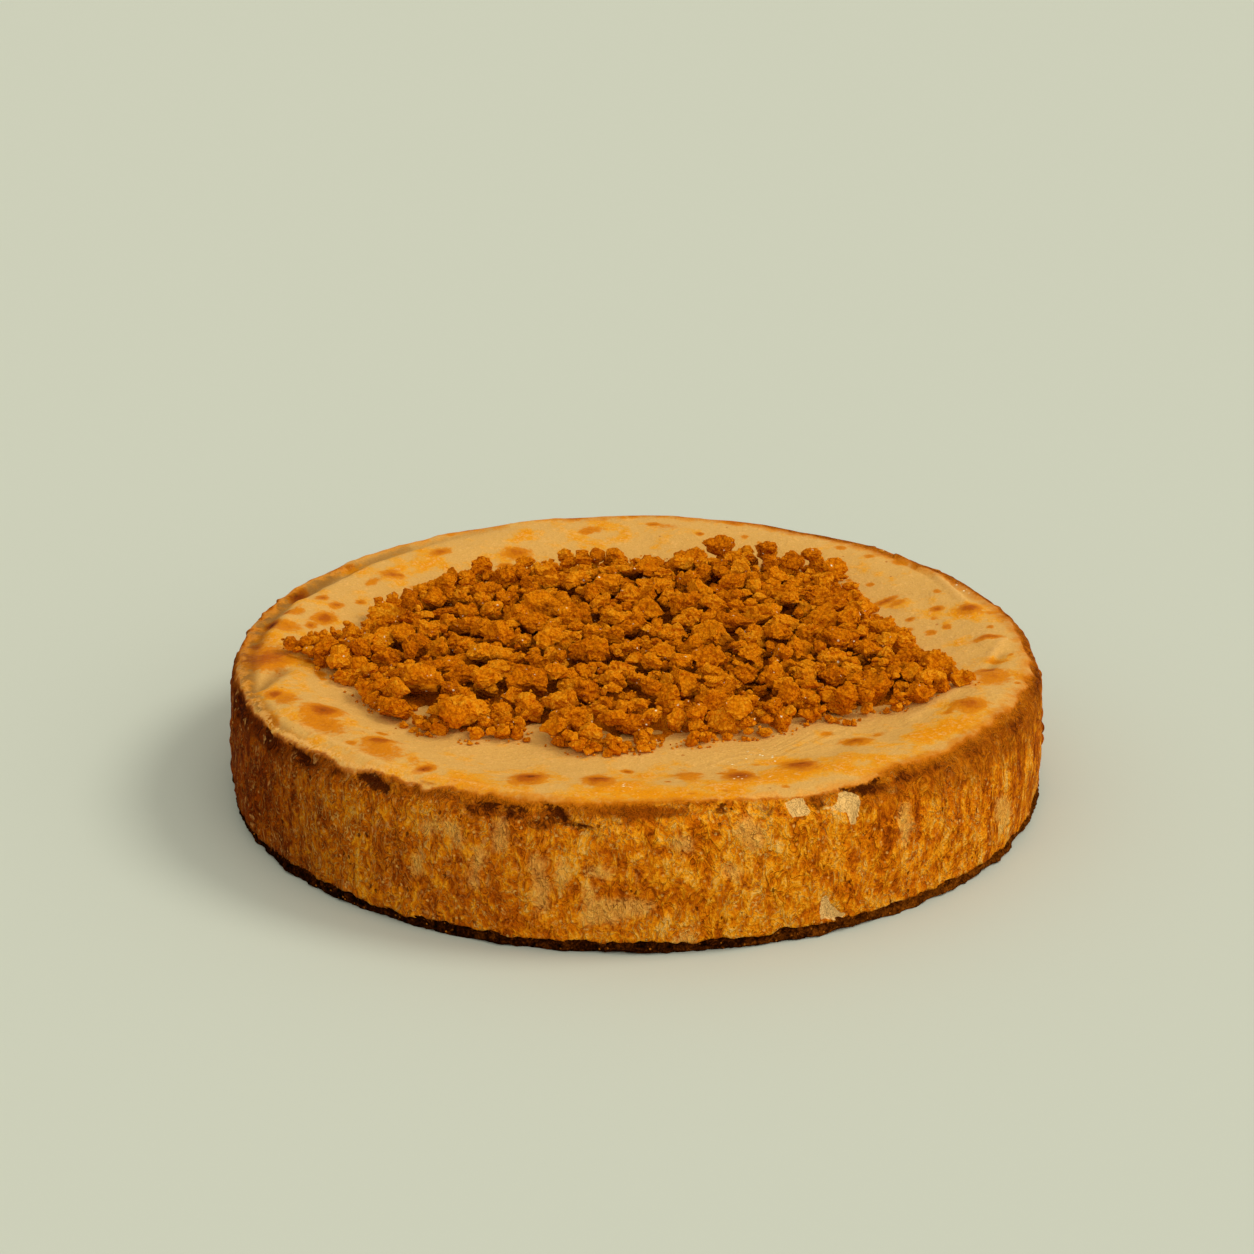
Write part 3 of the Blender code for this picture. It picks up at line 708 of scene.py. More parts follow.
def top_colour(f, p):
    """Pale skin with gold and orange bloom, browned spots, painted shade in the creases and on the left
    lip, painted highlights on the ridges, and a flaky lip.
    """
    bloomed = f.total(f.value("bloom"), (p.mottle, 2.4), (p.wide, 2.4), (p.speckle, 1))
    top = f.lay(TOP_PALE, TOP_GOLD, f.between(bloomed, 0.25, 0.75))
    top = f.lay(top, TOP_ORANGE, f.between(bloomed, 0.62, 1.05))
    creamy = f.between(f.total(0.5, (p.speckle, 2.2), (p.mottle, 1.2), (p.fine, 1.6)), 0.62, 1)
    top = f.lay(top, LIP_PALE, creamy, 0.6)
    freckled = f.between(f.total(f.cells(210), (p.speckle, 0.35)), 0.11, 0.05)
    top = f.lay(top, SPOT_BROWN, freckled, f.between(f.noise(45), 0.5, 0.6), 0.7)
    spotted = f.total(f.value("spot"), (p.speckle, 0.55), (p.coarse, 0.45))
    top = f.lay(top, TOP_AMBER, f.between(spotted, 0.16, 0.46))
    top = f.lay(top, SPOT_BROWN, f.between(spotted, 0.46, 0.95))
    top = f.lay(top, SPOT_DARK, f.between(spotted, 1, 1.3))
    shade = f.value("shade")
    # Painted shade along the creases and on the left lip, which faces away from the light
    top = f.lay(top, f.tinted(top, CREASE_SHADE_TINT), f.between(shade, 0.1, 1.3))
    # Painted highlights along the pale ridges
    top = f.lay(top, LIP_PALE, f.between(shade, -0.1, -0.8), 0.6)
    top = f.lay(top, TOP_ORANGE, f.between(p.edge, -5, -0.6), f.between(p.coarse, 0.38, 0.56), 0.6)
    flaky = f.between(f.total(0.5, (p.fine, 1.5), (p.coarse, 1.5)), 0.36, 0.6)
    top = f.lay(top, LIP_PALE, f.between(p.edge, -3, -1.4), flaky, p.lip, 0.8)
    return f.lay(top, SPOT_BROWN, f.between(p.edge, -1, 0.2), 0.8)


def wall_body(f, p):
    """The wall's mottling, with curled strokes, upright streaks, pale hairs and cracks darkened with
    painted shade; darker where its lightness is low, partly as painted shade.
    """
    body = f.total(0.5, (p.blotch, 0.6), (p.patch, 1), (p.stroke, 0.85), (p.grit, 0.5))
    streaks = f.share(f.value("streaky"), f.total(0, (p.streak, 1.1)))
    # Darker where the lightness is low: partly a darker crust, partly painted shade on the side away
    # from the light
    body = f.plus(body, streaks, f.share(f.math("SUBTRACT", p.tone, 0.72), 0.3))
    wall = f.ramp(body, WALL_STOPS)
    smeared = f.total(f.value("smear"), (p.coarse, 4), (p.patch, 3), (p.grit, 3))
    smear = f.lay(WALL_SMEAR, WALL_PALE, f.between(p.stroke, 0.4, 0.6))
    wall = f.lay(wall, smear, f.between(smeared, -1.8, 1.2), 0.62)
    hairs = f.line(f.noise(420, where=p.curled), 0.03, 0.008)
    toned = f.share(f.between(p.tone, 0.68, 0.4), 0.8)
    p.hairs = f.share(hairs, f.math("MAXIMUM", f.between(p.blotch, 0.46, 0.6), toned))
    wall = f.lay(wall, WALL_PALE, p.hairs, 0.75)
    # Thin cracks, darkened with painted shade and sunk in by the relief
    cracks = f.line(f.noise(300, 1, 0.5, 0.6, where=p.curled), 0.02, 0.004)
    p.cracks = f.share(cracks, f.between(p.blotch, 0.54, 0.42))
    return f.lay(wall, WALL_DARKEST, p.cracks, 0.7)


def wall_marks(f, p, wall):
    """What lies on the mottling: pits filled with painted shade, the dark band and near-black places
    under the rim, painted shade on the side away from the light, scraps and flecks.
    """
    wall = f.lay(wall, f.tinted(wall, YELLOW_TINT), f.value("yellow"), 0.4)
    # Painted shade in small pits, which the relief sinks in too
    pits = f.between(f.total(f.cells(330, p.upright), (p.grit, 0.3)), 0.16, 0.1)
    p.pits = f.share(pits, f.between(f.noise(130), 0.5, 0.6))
    wall = f.lay(wall, PIT_SHADE, p.pits, 0.8)
    banded = f.total(f.value("band"), (p.coarse, 1), (p.streak, 0.8))
    band = f.lay(BAND_DARK, BAND_BROWN, f.between(p.stroke, 0.35, 0.65))
    wall = f.lay(wall, band, f.between(banded, 0.25, 0.95), 0.85)
    # Near-black places just under the rim
    scorched = f.total(f.value("scorched"), (p.stroke, 0.9), (p.coarse, 1), (p.grit, 0.5))
    under_rim = f.lay(UNDER_RIM_BLACK, UNDER_RIM_BROWN, f.between(p.stroke, 0.4, 0.65))
    wall = f.lay(wall, under_rim, f.between(scorched, 0.35, 0.75), 0.92)
    # Painted shade on the side away from the light, laid over a crust that is darker there too
    wall = f.lay(wall, f.tinted(wall, SIDE_SHADE_TINT), f.between(p.tone, 0.75, 0.05), 0.9)
    scraps = f.between(f.total(f.cells(250, p.curled), (p.grit, 0.3)), 0.3, 0.14)
    near = f.between(p.patch, 0.44, 0.56)
    wall = f.lay(wall, SCRAP_TAN, scraps, near, f.between(p.tone, 0.74, 0.5), 0.75)
    flecks = f.between(f.cells(460), 0.26, 0.12)
    fleck = f.lay(FLECK_TAN, WALL_PALE, f.between(p.tone, 0.2, 0.7))
    near = f.between(f.noise(200), 0.42, 0.54)
    return f.lay(wall, fleck, flecks, near, f.between(banded, 0.8, 0.2), 0.7)


def rim_marks(f, p, colour):
    """The browned shoulder, fissures filled with painted shade, torn places and painted glints, and a
    fine grain over all.
    """
    softly = f.between(f.total(f.value("soft"), (p.coarse, 0.5), (p.fine, 0.25)), 0.25, 0.75)
    colour = f.lay(colour, SOFT_BROWN, softly, 0.9)
    near = f.share(f.between(p.edge, -3.4, -0.5), f.between(p.edge, 3.6, 0.2))
    colour = f.lay(colour, RIM_BROWN, near, f.between(p.lip, 0.7, 0), 0.6)
    # Near-black painted shade in the fissures, which are sunk in too
    split = f.between(f.total(f.value("fissure"), (p.fine, 3), (p.coarse, 3.2)), -0.6, 0.3)
    colour = f.lay(colour, FISSURE_SHADE, split, 0.92)
    torn = f.between(f.total(f.value("torn"), (p.fine, 1.2)), -0.12, 0.12)
    colour = f.lay(colour, INSIDE_CREAM, torn)
    # Painted highlights: tiny glints where the top glistens
    glinting = f.between(f.total(f.value("glinting"), (p.mottle, 1)), 0.28, 0.52)
    colour = f.lay(colour, WET_GLINT, f.between(f.cells(520), 0.22, 0.1), glinting)
    grain = f.between(f.noise(1900), 0.6, 0.36)
    return f.lay(colour, f.tinted(colour, GRAIN_TINT), grain, 0.45)


def skin_relief(f, p):
    """Ripples and fine grain on top, curls, hairs and pits on the wall."""
    place = f.warped(f.where, 60, 0.012)
    outward = f.add("ShaderNodeVectorMath", {0: place}, operation="LENGTH").outputs["Value"]
    rings = f.add("ShaderNodeCombineXYZ", {0: outward}).outputs[0]
    ripples = f.share(f.noise(620, where=rings), f.value("wrinkle"), 3)
    top = f.total(ripples, (p.mottle, 2.4), (p.speckle, 1.3), (f.noise(2600, 2), 0.4))
    curls = ((p.patch, 1.6), (p.stroke, 2), (p.grit, 0.9), (p.streak, 1))
    hollows = f.plus(f.share(p.pits, 0.6), f.share(p.cracks, 0.4))
    wall = f.math("SUBTRACT", f.total(f.share(p.hairs, 0.4), *curls), hollows)
    blend = f.add("ShaderNodeMix", data_type="VECTOR")
    f.put(blend.inputs["Factor"], p.side)
    f.put(blend.inputs[VECTOR_A], f.bump(top, TOP_BUMP))
    f.put(blend.inputs[VECTOR_B], f.bump(wall, WALL_BUMP))
    return blend.outputs[VECTOR_MIXED]


def skin_finish():
    """Browned skin: pale and blotched on top, mottled and curled down the wall."""
    f = Finish("baked skin", 0.5, 0.015)
    p = skin_patterns(f)
    colour = f.lay(top_colour(f, p), wall_marks(f, p, wall_body(f, p)), p.side)
    roughness = f.plus(0.42, f.share(p.mottle, 0.2), f.share(p.side, 0.4))
    f.put(f.shader.inputs["Roughness"], roughness)
    return f.done(rim_marks(f, p, colour), skin_relief(f, p))


def biscuit_finish():
    """Dark pressed biscuit with lighter crumbs in it."""
    f = Finish("biscuit", 0.85, 0)
    clumps = f.noise(350, 4, 0.65)
    grains = f.noise(1300, 3, 0.7)
    mixed = f.plus(f.share(clumps, 0.5), f.share(grains, 0.5), f.share(f.value("lighter"), 0.15))
    near = f.between(f.noise(330, 2), 0.5, 0.58)
    colour = f.ramp(mixed, BISCUIT_STOPS)
    colour = f.lay(colour, BISCUIT_FLECK, f.between(f.cells(620), 0.24, 0.12), near, 0.9)
    return f.done(colour, f.bump(f.plus(f.share(clumps, 1.2), grains), BISCUIT_BUMP))


def crumb_finish(name, scale, tint):
    """Dry, grainy biscuit crumb. Each crumb has its own tone. Painted shade darkens the hollows between
    grains and the crevices where a point is sunk in, and painted glints dot it.
    """
    f = Finish(name, 0.9, 0.01)
    island = f.add("ShaderNodeNewGeometry").outputs["Random Per Island"]
    grains = f.cells(scale)
    sand = f.noise(scale * 2.2, 3, 0.7)
    lumps = f.noise(scale * 0.35, 3, 0.6)
    mixed = f.total(0.49, (sand, 0.34), (lumps, 0.3), (island, 0.15))
    # Painted shade in the hollows between the grains, which the bump sinks in too
    mixed = f.math("SUBTRACT", mixed, f.share(f.between(grains, 0.35, 0.75), 0.1))
    colour = f.ramp(mixed, CRUMB_STOPS)
    # Painted shade in the crevices, darker the deeper a point is sunk
    sunk = f.between(f.total(f.value("sunk"), (lumps, 1)), 0.5, 3.2)
    colour = f.lay(colour, f.tinted(colour, CREVICE_SHADE_TINT), sunk, 0.88)
    # Painted highlights: small glints on the crumbs
    picked = f.between(f.noise(260), 0.62, 0.65)
    colour = f.lay(colour, CRUMB_GLINT, f.between(f.cells(480), 0.2, 0.12), picked, 0.95)
    height = f.math("SUBTRACT", f.share(sand, 0.7), f.share(grains, 1.3))
    return f.done(f.tinted(colour, tint), f.bump(height, 0.5 / scale))


def skin_place(place):
    """Where a point of the plain turned skin lies, and how far it is over the rim's crest in mm."""
    distance, angle = from_middle(place.x, place.y)
    round_off, crest = shoulder(angle), rim_top(angle)
    if place.z <= CORNER_HEIGHT and distance > CORNER_DISTANCE:
        wall_height = crest - round_off - SKIN_BOTTOM
        height = SKIN_BOTTOM + (place.z - SKIN_BOTTOM) * wall_height / (CORNER_HEIGHT - SKIN_BOTTOM)
        over = round_off * pi / 2 + crest - round_off - height
    elif distance > CORNER_DISTANCE:
        turn = atan2(place.z - CORNER_HEIGHT, distance - CORNER_DISTANCE)
        distance = TIN_RADIUS - round_off + round_off * cos(turn)
        relief = top_relief(*level_place(distance, angle))
        height = crest - round_off + (round_off + relief) * sin(turn)
        over = round_off * (pi / 2 - turn)
    elif place.z > CORNER_HEIGHT:
        distance *= (TIN_RADIUS - round_off) / CORNER_DISTANCE
        height = top_surface(*level_place(distance, angle))
        over = distance - (TIN_RADIUS - round_off)
    else:
        return place, UNDERSIDE
    distance += smooth_step(distance / TIN_RADIUS, *WALL_FROM) * wall_offset(angle, height)
    return Vector((*level_place(distance, angle), height)), over * 1000


def crease_field(xy, creases):
    """How deep the creases of the skin are at each point, and how dark their painted shade is; below
    zero, how strong the painted highlight of a ridge is.
    """
    depth, shade = np.zeros(len(xy)), np.zeros(len(xy))
    for angle_a, radius_a, angle_b, radius_b, deep, half_width, dark in creases:
        start = np.array(polar(angle_a, radius_a / 1000 / TIN_RADIUS))
        run = np.array(polar(angle_b, radius_b / 1000 / TIN_RADIUS)) - start
        along = np.clip((xy - start) @ run / (run @ run), 0, 1)
        away = np.hypot(*(xy - start - np.outer(along, run)).T) * 1000
        near = bells(away, half_width)
        depth = np.where(abs(deep * near) > abs(depth), deep * near, depth)
        shade = np.where(dark * near > abs(shade), np.sign(deep) * dark * near, shade)
    return depth, shade


def skin_detail(place, over, angle):
    """The finer relief of wall and top: how far the skin stands out, sideways and upwards."""
    spot = Vector((place.x, place.y, place.z * 0.5))
    if over < ROUGH_WALL[0]:
        lively = smooth_step(hypot(place.x, place.y) / TIN_RADIUS, FLAT_WITHIN, LIVELY_FROM)
        return 0.0, TOP_GRAIN * lively * noise.fractal(spot * TOP_GRAIN_SCALE, 0.8, 2.0, 2)
    fewer_nubs = NUB_FROM_LIGHT * table_value(WALL_TONE, angle, TONE)
    nub = noise.noise(spot * NUB_SCALE + NUB_SHIFT) - NUB_FROM - fewer_nubs
    bulge = layered_noise(spot, WALL_ROUGH) + NUB_HEIGHT * max(0.0, nub)
    past = over - table_value(BRIGHT_REACH, angle)
    crease = bell(past - RIM_CREASE_PAST, RIM_CREASE_WIDTH) * table_value(WALL_TONE, angle, BAND)
    ragged = max(0.0, 0.4 + 1.3 * noise.noise(spot * RIM_CREASE_SCALE))
    flaky = 0.5 + table_value(WALL_TONE, angle, LIP)
    lumpy = LIP_SWELL + LIP_LUMPS * max(0.0, noise.noise(spot * LIP_SCALE)) * flaky
    overhang = bell(past + LIP_BEFORE, LIP_WIDTH) * lumpy
    outward = smooth_step(over, *ROUGH_WALL) * bulge - RIM_CREASE_DEPTH * crease * ragged + overhang
    return outward, LIP_LIFT * overhang


def patch_field(turns, overs, patches):
    """How far in mm each point lies inside the nearest of the patches, below zero outside."""
    field = np.full(len(turns), -OUTSIDE)
    along = radians(1) * TIN_RADIUS * 1000
    for patch in patches:
        corners = np.array(patch) * (along, 1.0)
        nearest = np.full(len(turns), OUTSIDE)
        inside = np.zeros(len(turns), dtype=bool)
        for (ax, ay), (bx, by) in zip(corners, np.roll(corners, -1, axis=0)):
            x, y = turns * along - ax, overs - ay
            dx, dy = bx - ax, by - ay
            place = np.clip((x * dx + y * dy) / (dx * dx + dy * dy), 0, 1)
            nearest = np.minimum(nearest, np.hypot(x - place * dx, y - place * dy))
            inside ^= ((y < 0) != (y < dy)) & (x < dx * y / (dy or 1.0))
        field = np.maximum(field, np.where(inside, nearest, -nearest))
    return field


def spot_field(xy, spots):
    """The strongest of the soft oval spots at each point."""
    field = np.zeros(len(xy))
    for angle, share, length, width, strength in spots:
        middle = polar(angle, share)
        outward = np.array(middle.normalized())
        away = xy - np.array(middle)
        across = away @ outward
        along = away @ np.array((-outward[1], outward[0]))
        reach = (along / length) ** 2 + (across / width) ** 2
        field = np.maximum(field, strength * np.exp(-reach * 1e6 / SPOT_FULLNESS))
    return field


def wall_field(turns, heights, places):
    """The strongest of the soft oval places on the wall at each point."""
    field = np.zeros(len(turns))
    for middle, level, half_turn, half_height, strength in places:
        across = ((turns - middle + 180) % 360 - 180) / half_turn
        near = np.exp(-(across**2 + ((heights - level) / half_height) ** 2))
        field = np.maximum(field, strength * near)
    return field


def small_spots():
    """Spots too many to list one by one, in the same form as SPOTS."""
    draw = random.Random(SPOT_SEED)
    small = []
    for _ in range(SMALL_SPOTS):
        size = draw.uniform(*SMALL_SPOT_SIZE)
        angle, share = draw.uniform(-180, 180), draw.uniform(*SMALL_SPOT_SHARE)
        small.append((angle, share, size * draw.uniform(1, 1.8), size, draw.uniform(0.4, 0.9)))
    return small


def skin_profile():
    """Half a section of the plain filling, from the middle of the top to that of the underside."""
    profile = [(share * TIN_RADIUS, RIM_HEIGHT) for share in SKIN_MIDDLE_SHARES]
    for row in range(SKIN_TOP_ROWS):
        share = SKIN_TOP_FROM + (CORNER_DISTANCE / TIN_RADIUS - SKIN_TOP_FROM) * row / SKIN_TOP_ROWS
        profile.append((share * TIN_RADIUS, RIM_HEIGHT))
    for row in range(SKIN_SHOULDER_ROWS + 1):
        turn = pi / 2 * (1 - row / SKIN_SHOULDER_ROWS)
        profile.append((CORNER_DISTANCE + SHOULDER * cos(turn), CORNER_HEIGHT + SHOULDER * sin(turn)))
    for row in range(1, SKIN_WALL_ROWS + 1):
        height = CORNER_HEIGHT + (SKIN_BOTTOM - CORNER_HEIGHT) * row / SKIN_WALL_ROWS
        profile.append((TIN_RADIUS, height))
    profile.append((TIN_RADIUS * UNDER_EDGE, SKIN_BOTTOM + UNDER_LIFT))
    return [*profile, (TIN_RADIUS * UNDER_MIDDLE, SKIN_BOTTOM), (0.0, SKIN_BOTTOM)]


def shaped_skin():
    """The skin's bmesh, and how far each of its points is over the rim's crest in mm."""
    bm = spun(skin_profile(), SKIN_SEGMENTS)
    overs = []
    for vertex in bm.verts:
        place, over = skin_place(vertex.co)
        if over < UNDERSIDE:
            angle = atan2(place.y, place.x)
            outward, upward = skin_detail(place, over, angle)
            hem = smooth_step(place.z, HEM_FROM, SKIN_BOTTOM)
            place = place + outwards(angle) * outward
            level = Vector((place.x, place.y, 0.0))
            frayed = noise.noise(level * HEM_SCALE)
            frayed += HEM_FINE * noise.noise((level + HEM_SHIFT) * HEM_FINE_SCALE)
            place.z += upward + hem * (HEM_FRAY * frayed - HEM_SHORTER)
        vertex.co = place
        overs.append(over)
    return bm, np.array(overs)


def make_skin():
    """The filling's skin, with what its material has to know at each point."""
    bm, overs = shaped_skin()
    obj = made_object("filling_skin", bm, skin_finish(), "baked_filling")
    points, turns = mesh_points(obj)
    xy, heights = points[:, :2].copy(), points[:, 2] * 1000
    depth, shade = crease_field(xy, CREASES)
    points[:, 2] -= depth * (overs < CREASES_END) / 1000
    torn, fissure = patch_field(turns, overs, TORN), patch_field(turns, overs, FISSURES)
    inward = TORN_DEPTH * np.clip(TORN_SOFT + torn, 0, 1)
    inward += FISSURE_DEPTH * np.clip(FISSURE_SOFT + fissure, 0, 1)
    points[:, :2] *= 1 - (inward / TIN_RADIUS)[:, None]
    obj.data.vertices.foreach_set("co", points.ravel())

    def by_angle(table, column=1):
        rows = np.array(table)
        return np.interp(turns, rows[:, 0], rows[:, column])

    over = overs - by_angle(BRIGHT_REACH)
    shares = np.hypot(xy[:, 0], xy[:, 1]) / TIN_RADIUS
    ripples = bells(shares - RIPPLE_SHARE, RIPPLE_WIDTH)
    halos = [(*spot[:2], spot[2] * HALO_SIZE, spot[3] * HALO_SIZE, HALO_STRENGTH) for spot in SPOTS]
    in_band = np.clip(BAND_END - over / by_angle(WALL_TONE, BAND_DEPTH), 0, 1)
    values = {
        "over": over,
        "shade": shade * np.clip((SHADE_END - overs) / SHADE_FADE, 0, 1),
        "spot": spot_field(xy, [*SPOTS, *small_spots()]),
        "bloom": spot_field(xy, [*BLOOMS, *halos]),
        "glinting": spot_field(xy, GLINT_PLACES),
        "wrinkle": ripples * bells(turns - RIPPLE_ANGLE, RIPPLE_SPREAD),
        "tone": by_angle(WALL_TONE, TONE),
        "band": by_angle(WALL_TONE, BAND) * in_band**BAND_CURVE,
        "yellow": by_angle(WALL_TONE, YELLOW),
        "streaky": by_angle(WALL_TONE, STREAKY),
        "lip": by_angle(WALL_TONE, LIP),
        "soft": wall_field(turns, overs, SOFT),
        "torn": torn,
        "fissure": fissure,
        "smear": patch_field(turns, overs, SMEARS),
        "scorched": wall_field(turns, heights, UNDER_RIM_DARKS) * (over > UNDER_RIM_DARKS_FROM),
    }
    for name, value in values.items():
        add_values(obj, name, value)


def make_biscuit():
    """The biscuit layer under the filling, crumbly at its edge."""
    edge = TIN_RADIUS - BASE_INSET
    edge_height = BASE_HEIGHT - BASE_ROUND_TOP - BASE_ROUND_FOOT
    profile = [(distance, BASE_HEIGHT) for distance in (0.0, BASE_FLAT * edge, edge - BASE_ROUND_TOP)]
    for row in range(BASE_EDGE_ROWS + 1):
        profile.append((edge, BASE_HEIGHT - BASE_ROUND_TOP - edge_height * row / BASE_EDGE_ROWS))
    profile += [(edge - BASE_ROUND_FOOT, 0.0), (BASE_FLAT * edge, 0.0), (0.0, 0.0)]
    bm = spun(profile, BASE_SEGMENTS)
    for vertex in bm.verts:
        place = base_point(vertex.co)
        rim = smooth_step(hypot(place.x, place.y) / TIN_RADIUS, *BISCUIT_ROUGH_FROM)
        away = outwards(atan2(place.y, place.x)) * rim
        vertex.co = place + away * layered_noise(place, BISCUIT_ROUGH)
    obj = made_object("biscuit_layer", bm, biscuit_finish(), "biscuit_base")
    turns = mesh_points(obj)[1]
    add_values(obj, "lighter", bells(turns - LIGHTER_ANGLE, LIGHTER_SPREAD))


# The crumb heap

GRID_STEP = 0.001
GRID_HALF = 120
GROUND_REACH = 0.112
BED_SEGMENTS, BED_ROWS = 420, 74
BED_DEPTH, BED_UNDER = 0.0030, 0.0003
BED_SHARE = 0.99
BED_ENDS = (0.76, 0.94)
BED_RAGGED = ((0.05, 120), (0.03, 330))
BED_GRAIN = ((0.00045, 640), (0.00035, 1300))
BED_UNEVEN = ((0.5, 90),)
BED_CLEARING = 1.4

# The painted shade of how far the crumbs are sunk in is weaker beyond these shares of the reach, and in
# front
SUNK_WITHIN, SUNK_FADE, SUNK_OUTER = 0.74, 0.2, 0.9
SUNK_FRONT, SUNK_FRONT_SHARE = (-0.06, -0.03), (0.5, 1.0)

# Kinds of crumb: sizes in mm, share of the heap's reach, how far they sink in, and how many
# places are tried for each
Kind = namedtuple("Kind", "name count smallest largest form reach sink tries")
CRUMB_KINDS = (
    Kind("crumb_lumps", 155, 8.2, 12.4, "lump", 1.0, 0.10, 2),
    Kind("crumb_chunks", 240, 5.4, 8.6, "chunk", 1.0, 0.18, 4),
    Kind("crumb_pieces", 380, 3.0, 5.4, "piece", 1.005, 0.30, 6),
    Kind("crumb_bits", 700, 1.4, 3.0, "bit", 1.015, 0.30, 7),
    Kind("crumb_grains", 1500, 0.6, 1.2, "grain", 1.02, 0.25, 5),
)
FORMS_PER_KIND, GRAIN_FORMS = 9, 4
BALLS = {"lump": 4, "bit": 2, "grain": 1}  # how often the ball that it starts from is subdivided
BLOCKS = {"chunk": 6, "piece": 3}  # how often the block that it starts from is cut
GRANULES = {"lump": 4.6, "chunk": 3.4}  # how many granules show across the larger crumbs
BLOCK_SIZE, BLOCK_ROUNDING = 0.8, 0.72
BREAKS, BREAK_REACH = 9, (0.24, 0.44)
CRUMB_SEED, SPREAD, SMALLER_MORE = 31, 0.105, 1.7
SIDES = ((0.92, 1.22), (0.85, 1.1), (0.72, 0.95))  # how far a crumb is stretched each way
EDGE_INSET, EDGE_WOBBLE, EDGE_SCALE, LUMP_SPACING = 0.35, 0.004, 140, 0.46
BARE_CHANCE, MOST_TRIES = 1.5, 6
HEAP_TOP, CRUMB_HALF = 0.0512, 0.55
# A crumb is held by the highest quarter of what it touches. The others are the shares of its
# rounded sides that count below and above, and its least height over the skin, in its own sizes
HELD_PART, SIDE_BELOW, SIDE_ABOVE, LEAST_RISE = 4, 0.8, 0.72, 0.24
LUMPS_FROM = -0.085  # the thin tail of the heap on the left has no lumps
SMOOTH_CELLS = 3
# A crumb hides what lies behind it, so it keeps clear of the bare places there, in its own sizes
SHADOW_STEPS = (0.0, 0.8, 1.6)

# Places where the skin shows between the crumbs: angle in degrees, distance and reach in mm
BARE = (
    (-146.3, 71.9, 4), (-140.3, 59.8, 2.5), (-131.2, 62.6, 3.5), (-127.3, 58.3, 2.5),
    (-118.1, 59.1, 4), (-114, 66, 4.5), (-99.4, 59.9, 4), (-92, 60.5, 3.5), (-84.1, 57, 2.5),
    (-78.9, 62.7, 4), (-45.8, 51.2, 2.5), (-162.8, 85, 3), (-170.3, 85.8, 3),
)


def bareness(x, y):
    """1 where the skin shows between the crumbs, 0 elsewhere."""
    found = 0.0
    for angle, distance, reach in BARE:
        bare_x, bare_y = level_place(distance / 1000, radians(angle))
        found = max(found, bell(hypot(x - bare_x, y - bare_y), reach / 1000))
    return found


def bed_depth(x, y):
    """Depth of the fine crumbs under the larger ones."""
    distance, angle = from_middle(x, y)
    share = distance / heap_reach(angle)
    spot = Vector((x, y, 0.0))
    fullness = 1 - smooth_step(share + layered_noise(spot, BED_RAGGED), *BED_ENDS)
    uneven = 1 + layered_noise(spot, BED_UNEVEN)
    cleared = min(1.0, BED_CLEARING * bareness(x, y))
    return BED_DEPTH * uneven * fullness * (1 - cleared) - BED_UNDER


def make_bed():
    """The low bed of fine crumbs that fills the gaps between the larger ones."""
    bm = spun([(row / BED_ROWS, 0.0) for row in range(BED_ROWS + 1)], BED_SEGMENTS)
    for vertex in bm.verts:
        distance, angle = from_middle(vertex.co.x, vertex.co.y)
        x, y = level_place(distance * heap_reach(angle) * BED_SHARE, angle)
        grainy = layered_noise(Vector((x, y, 0.0)), BED_GRAIN)
        depth = bed_depth(x, y)
        vertex.co = (x, y, top_surface(x, y) + depth + (grainy if depth > 0 else 0.0))
    if sum(face.normal.z for face in bm.faces) < 0:
        bmesh.ops.reverse_faces(bm, faces=bm.faces)
    finish = crumb_finish("crumb bed", 1100.0, BED_TINT)
    return made_object("crumb_bed", bm, finish, "crumb_heap")


def plain_form(form):
    """The ball or rounded block that a crumb is broken from."""
    bm = bmesh.new()
    if form in BALLS:
        bmesh.ops.create_icosphere(bm, subdivisions=BALLS[form], radius=0.5)
        return bm
    bmesh.ops.create_cube(bm, size=BLOCK_SIZE)
    bmesh.ops.subdivide_edges(bm, edges=bm.edges, cuts=BLOCKS[form], use_grid_fill=True)
    for vertex in bm.verts:
        vertex.co = vertex.co.lerp(vertex.co.normalized() * 0.5, BLOCK_ROUNDING)
    return bm


def crumb_form(form, seed):
    """One broken piece of biscuit of about unit size."""
    draw = random.Random(seed)
    bm = plain_form(form)
    shift = Vector((draw.uniform(0, 50), draw.uniform(0, 50), draw.uniform(0, 50)))
    breaks = []
    for _ in range(BREAKS):
        normal = Vector([draw.gauss(0, 1) for _ in range(3)]).normalized()
        breaks.append((normal, draw.uniform(*BREAK_REACH)))
    for vertex in bm.verts:
        place = vertex.co.copy()
        for normal, reach in breaks:
            place -= normal * max(0.0, place.dot(normal) - reach)
        lumpy = 0.06 + 0.16 * noise.noise(place * 2.3 + shift)
        lumpy -= 0.18 * abs(noise.noise(place * 4.1 + shift))
        if form in GRANULES:
            distances, centres = noise.voronoi(place * GRANULES[form] + shift)
            gap = bell(distances[1] - distances[0], 0.14)
            lumpy += 0.06 * noise.cell(centres[0] * 9.0) - 0.12 * gap
            lumpy += 0.06 * noise.noise(place * 15 + shift)
        else:
            lumpy += 0.14 * noise.noise(place * 6 + shift)
        vertex.co = place * (1 + 1.5 * lumpy)
    mesh = bpy.data.meshes.new(f"{form}_{seed}")
    bm.to_mesh(mesh)
    bm.free()
    return mesh


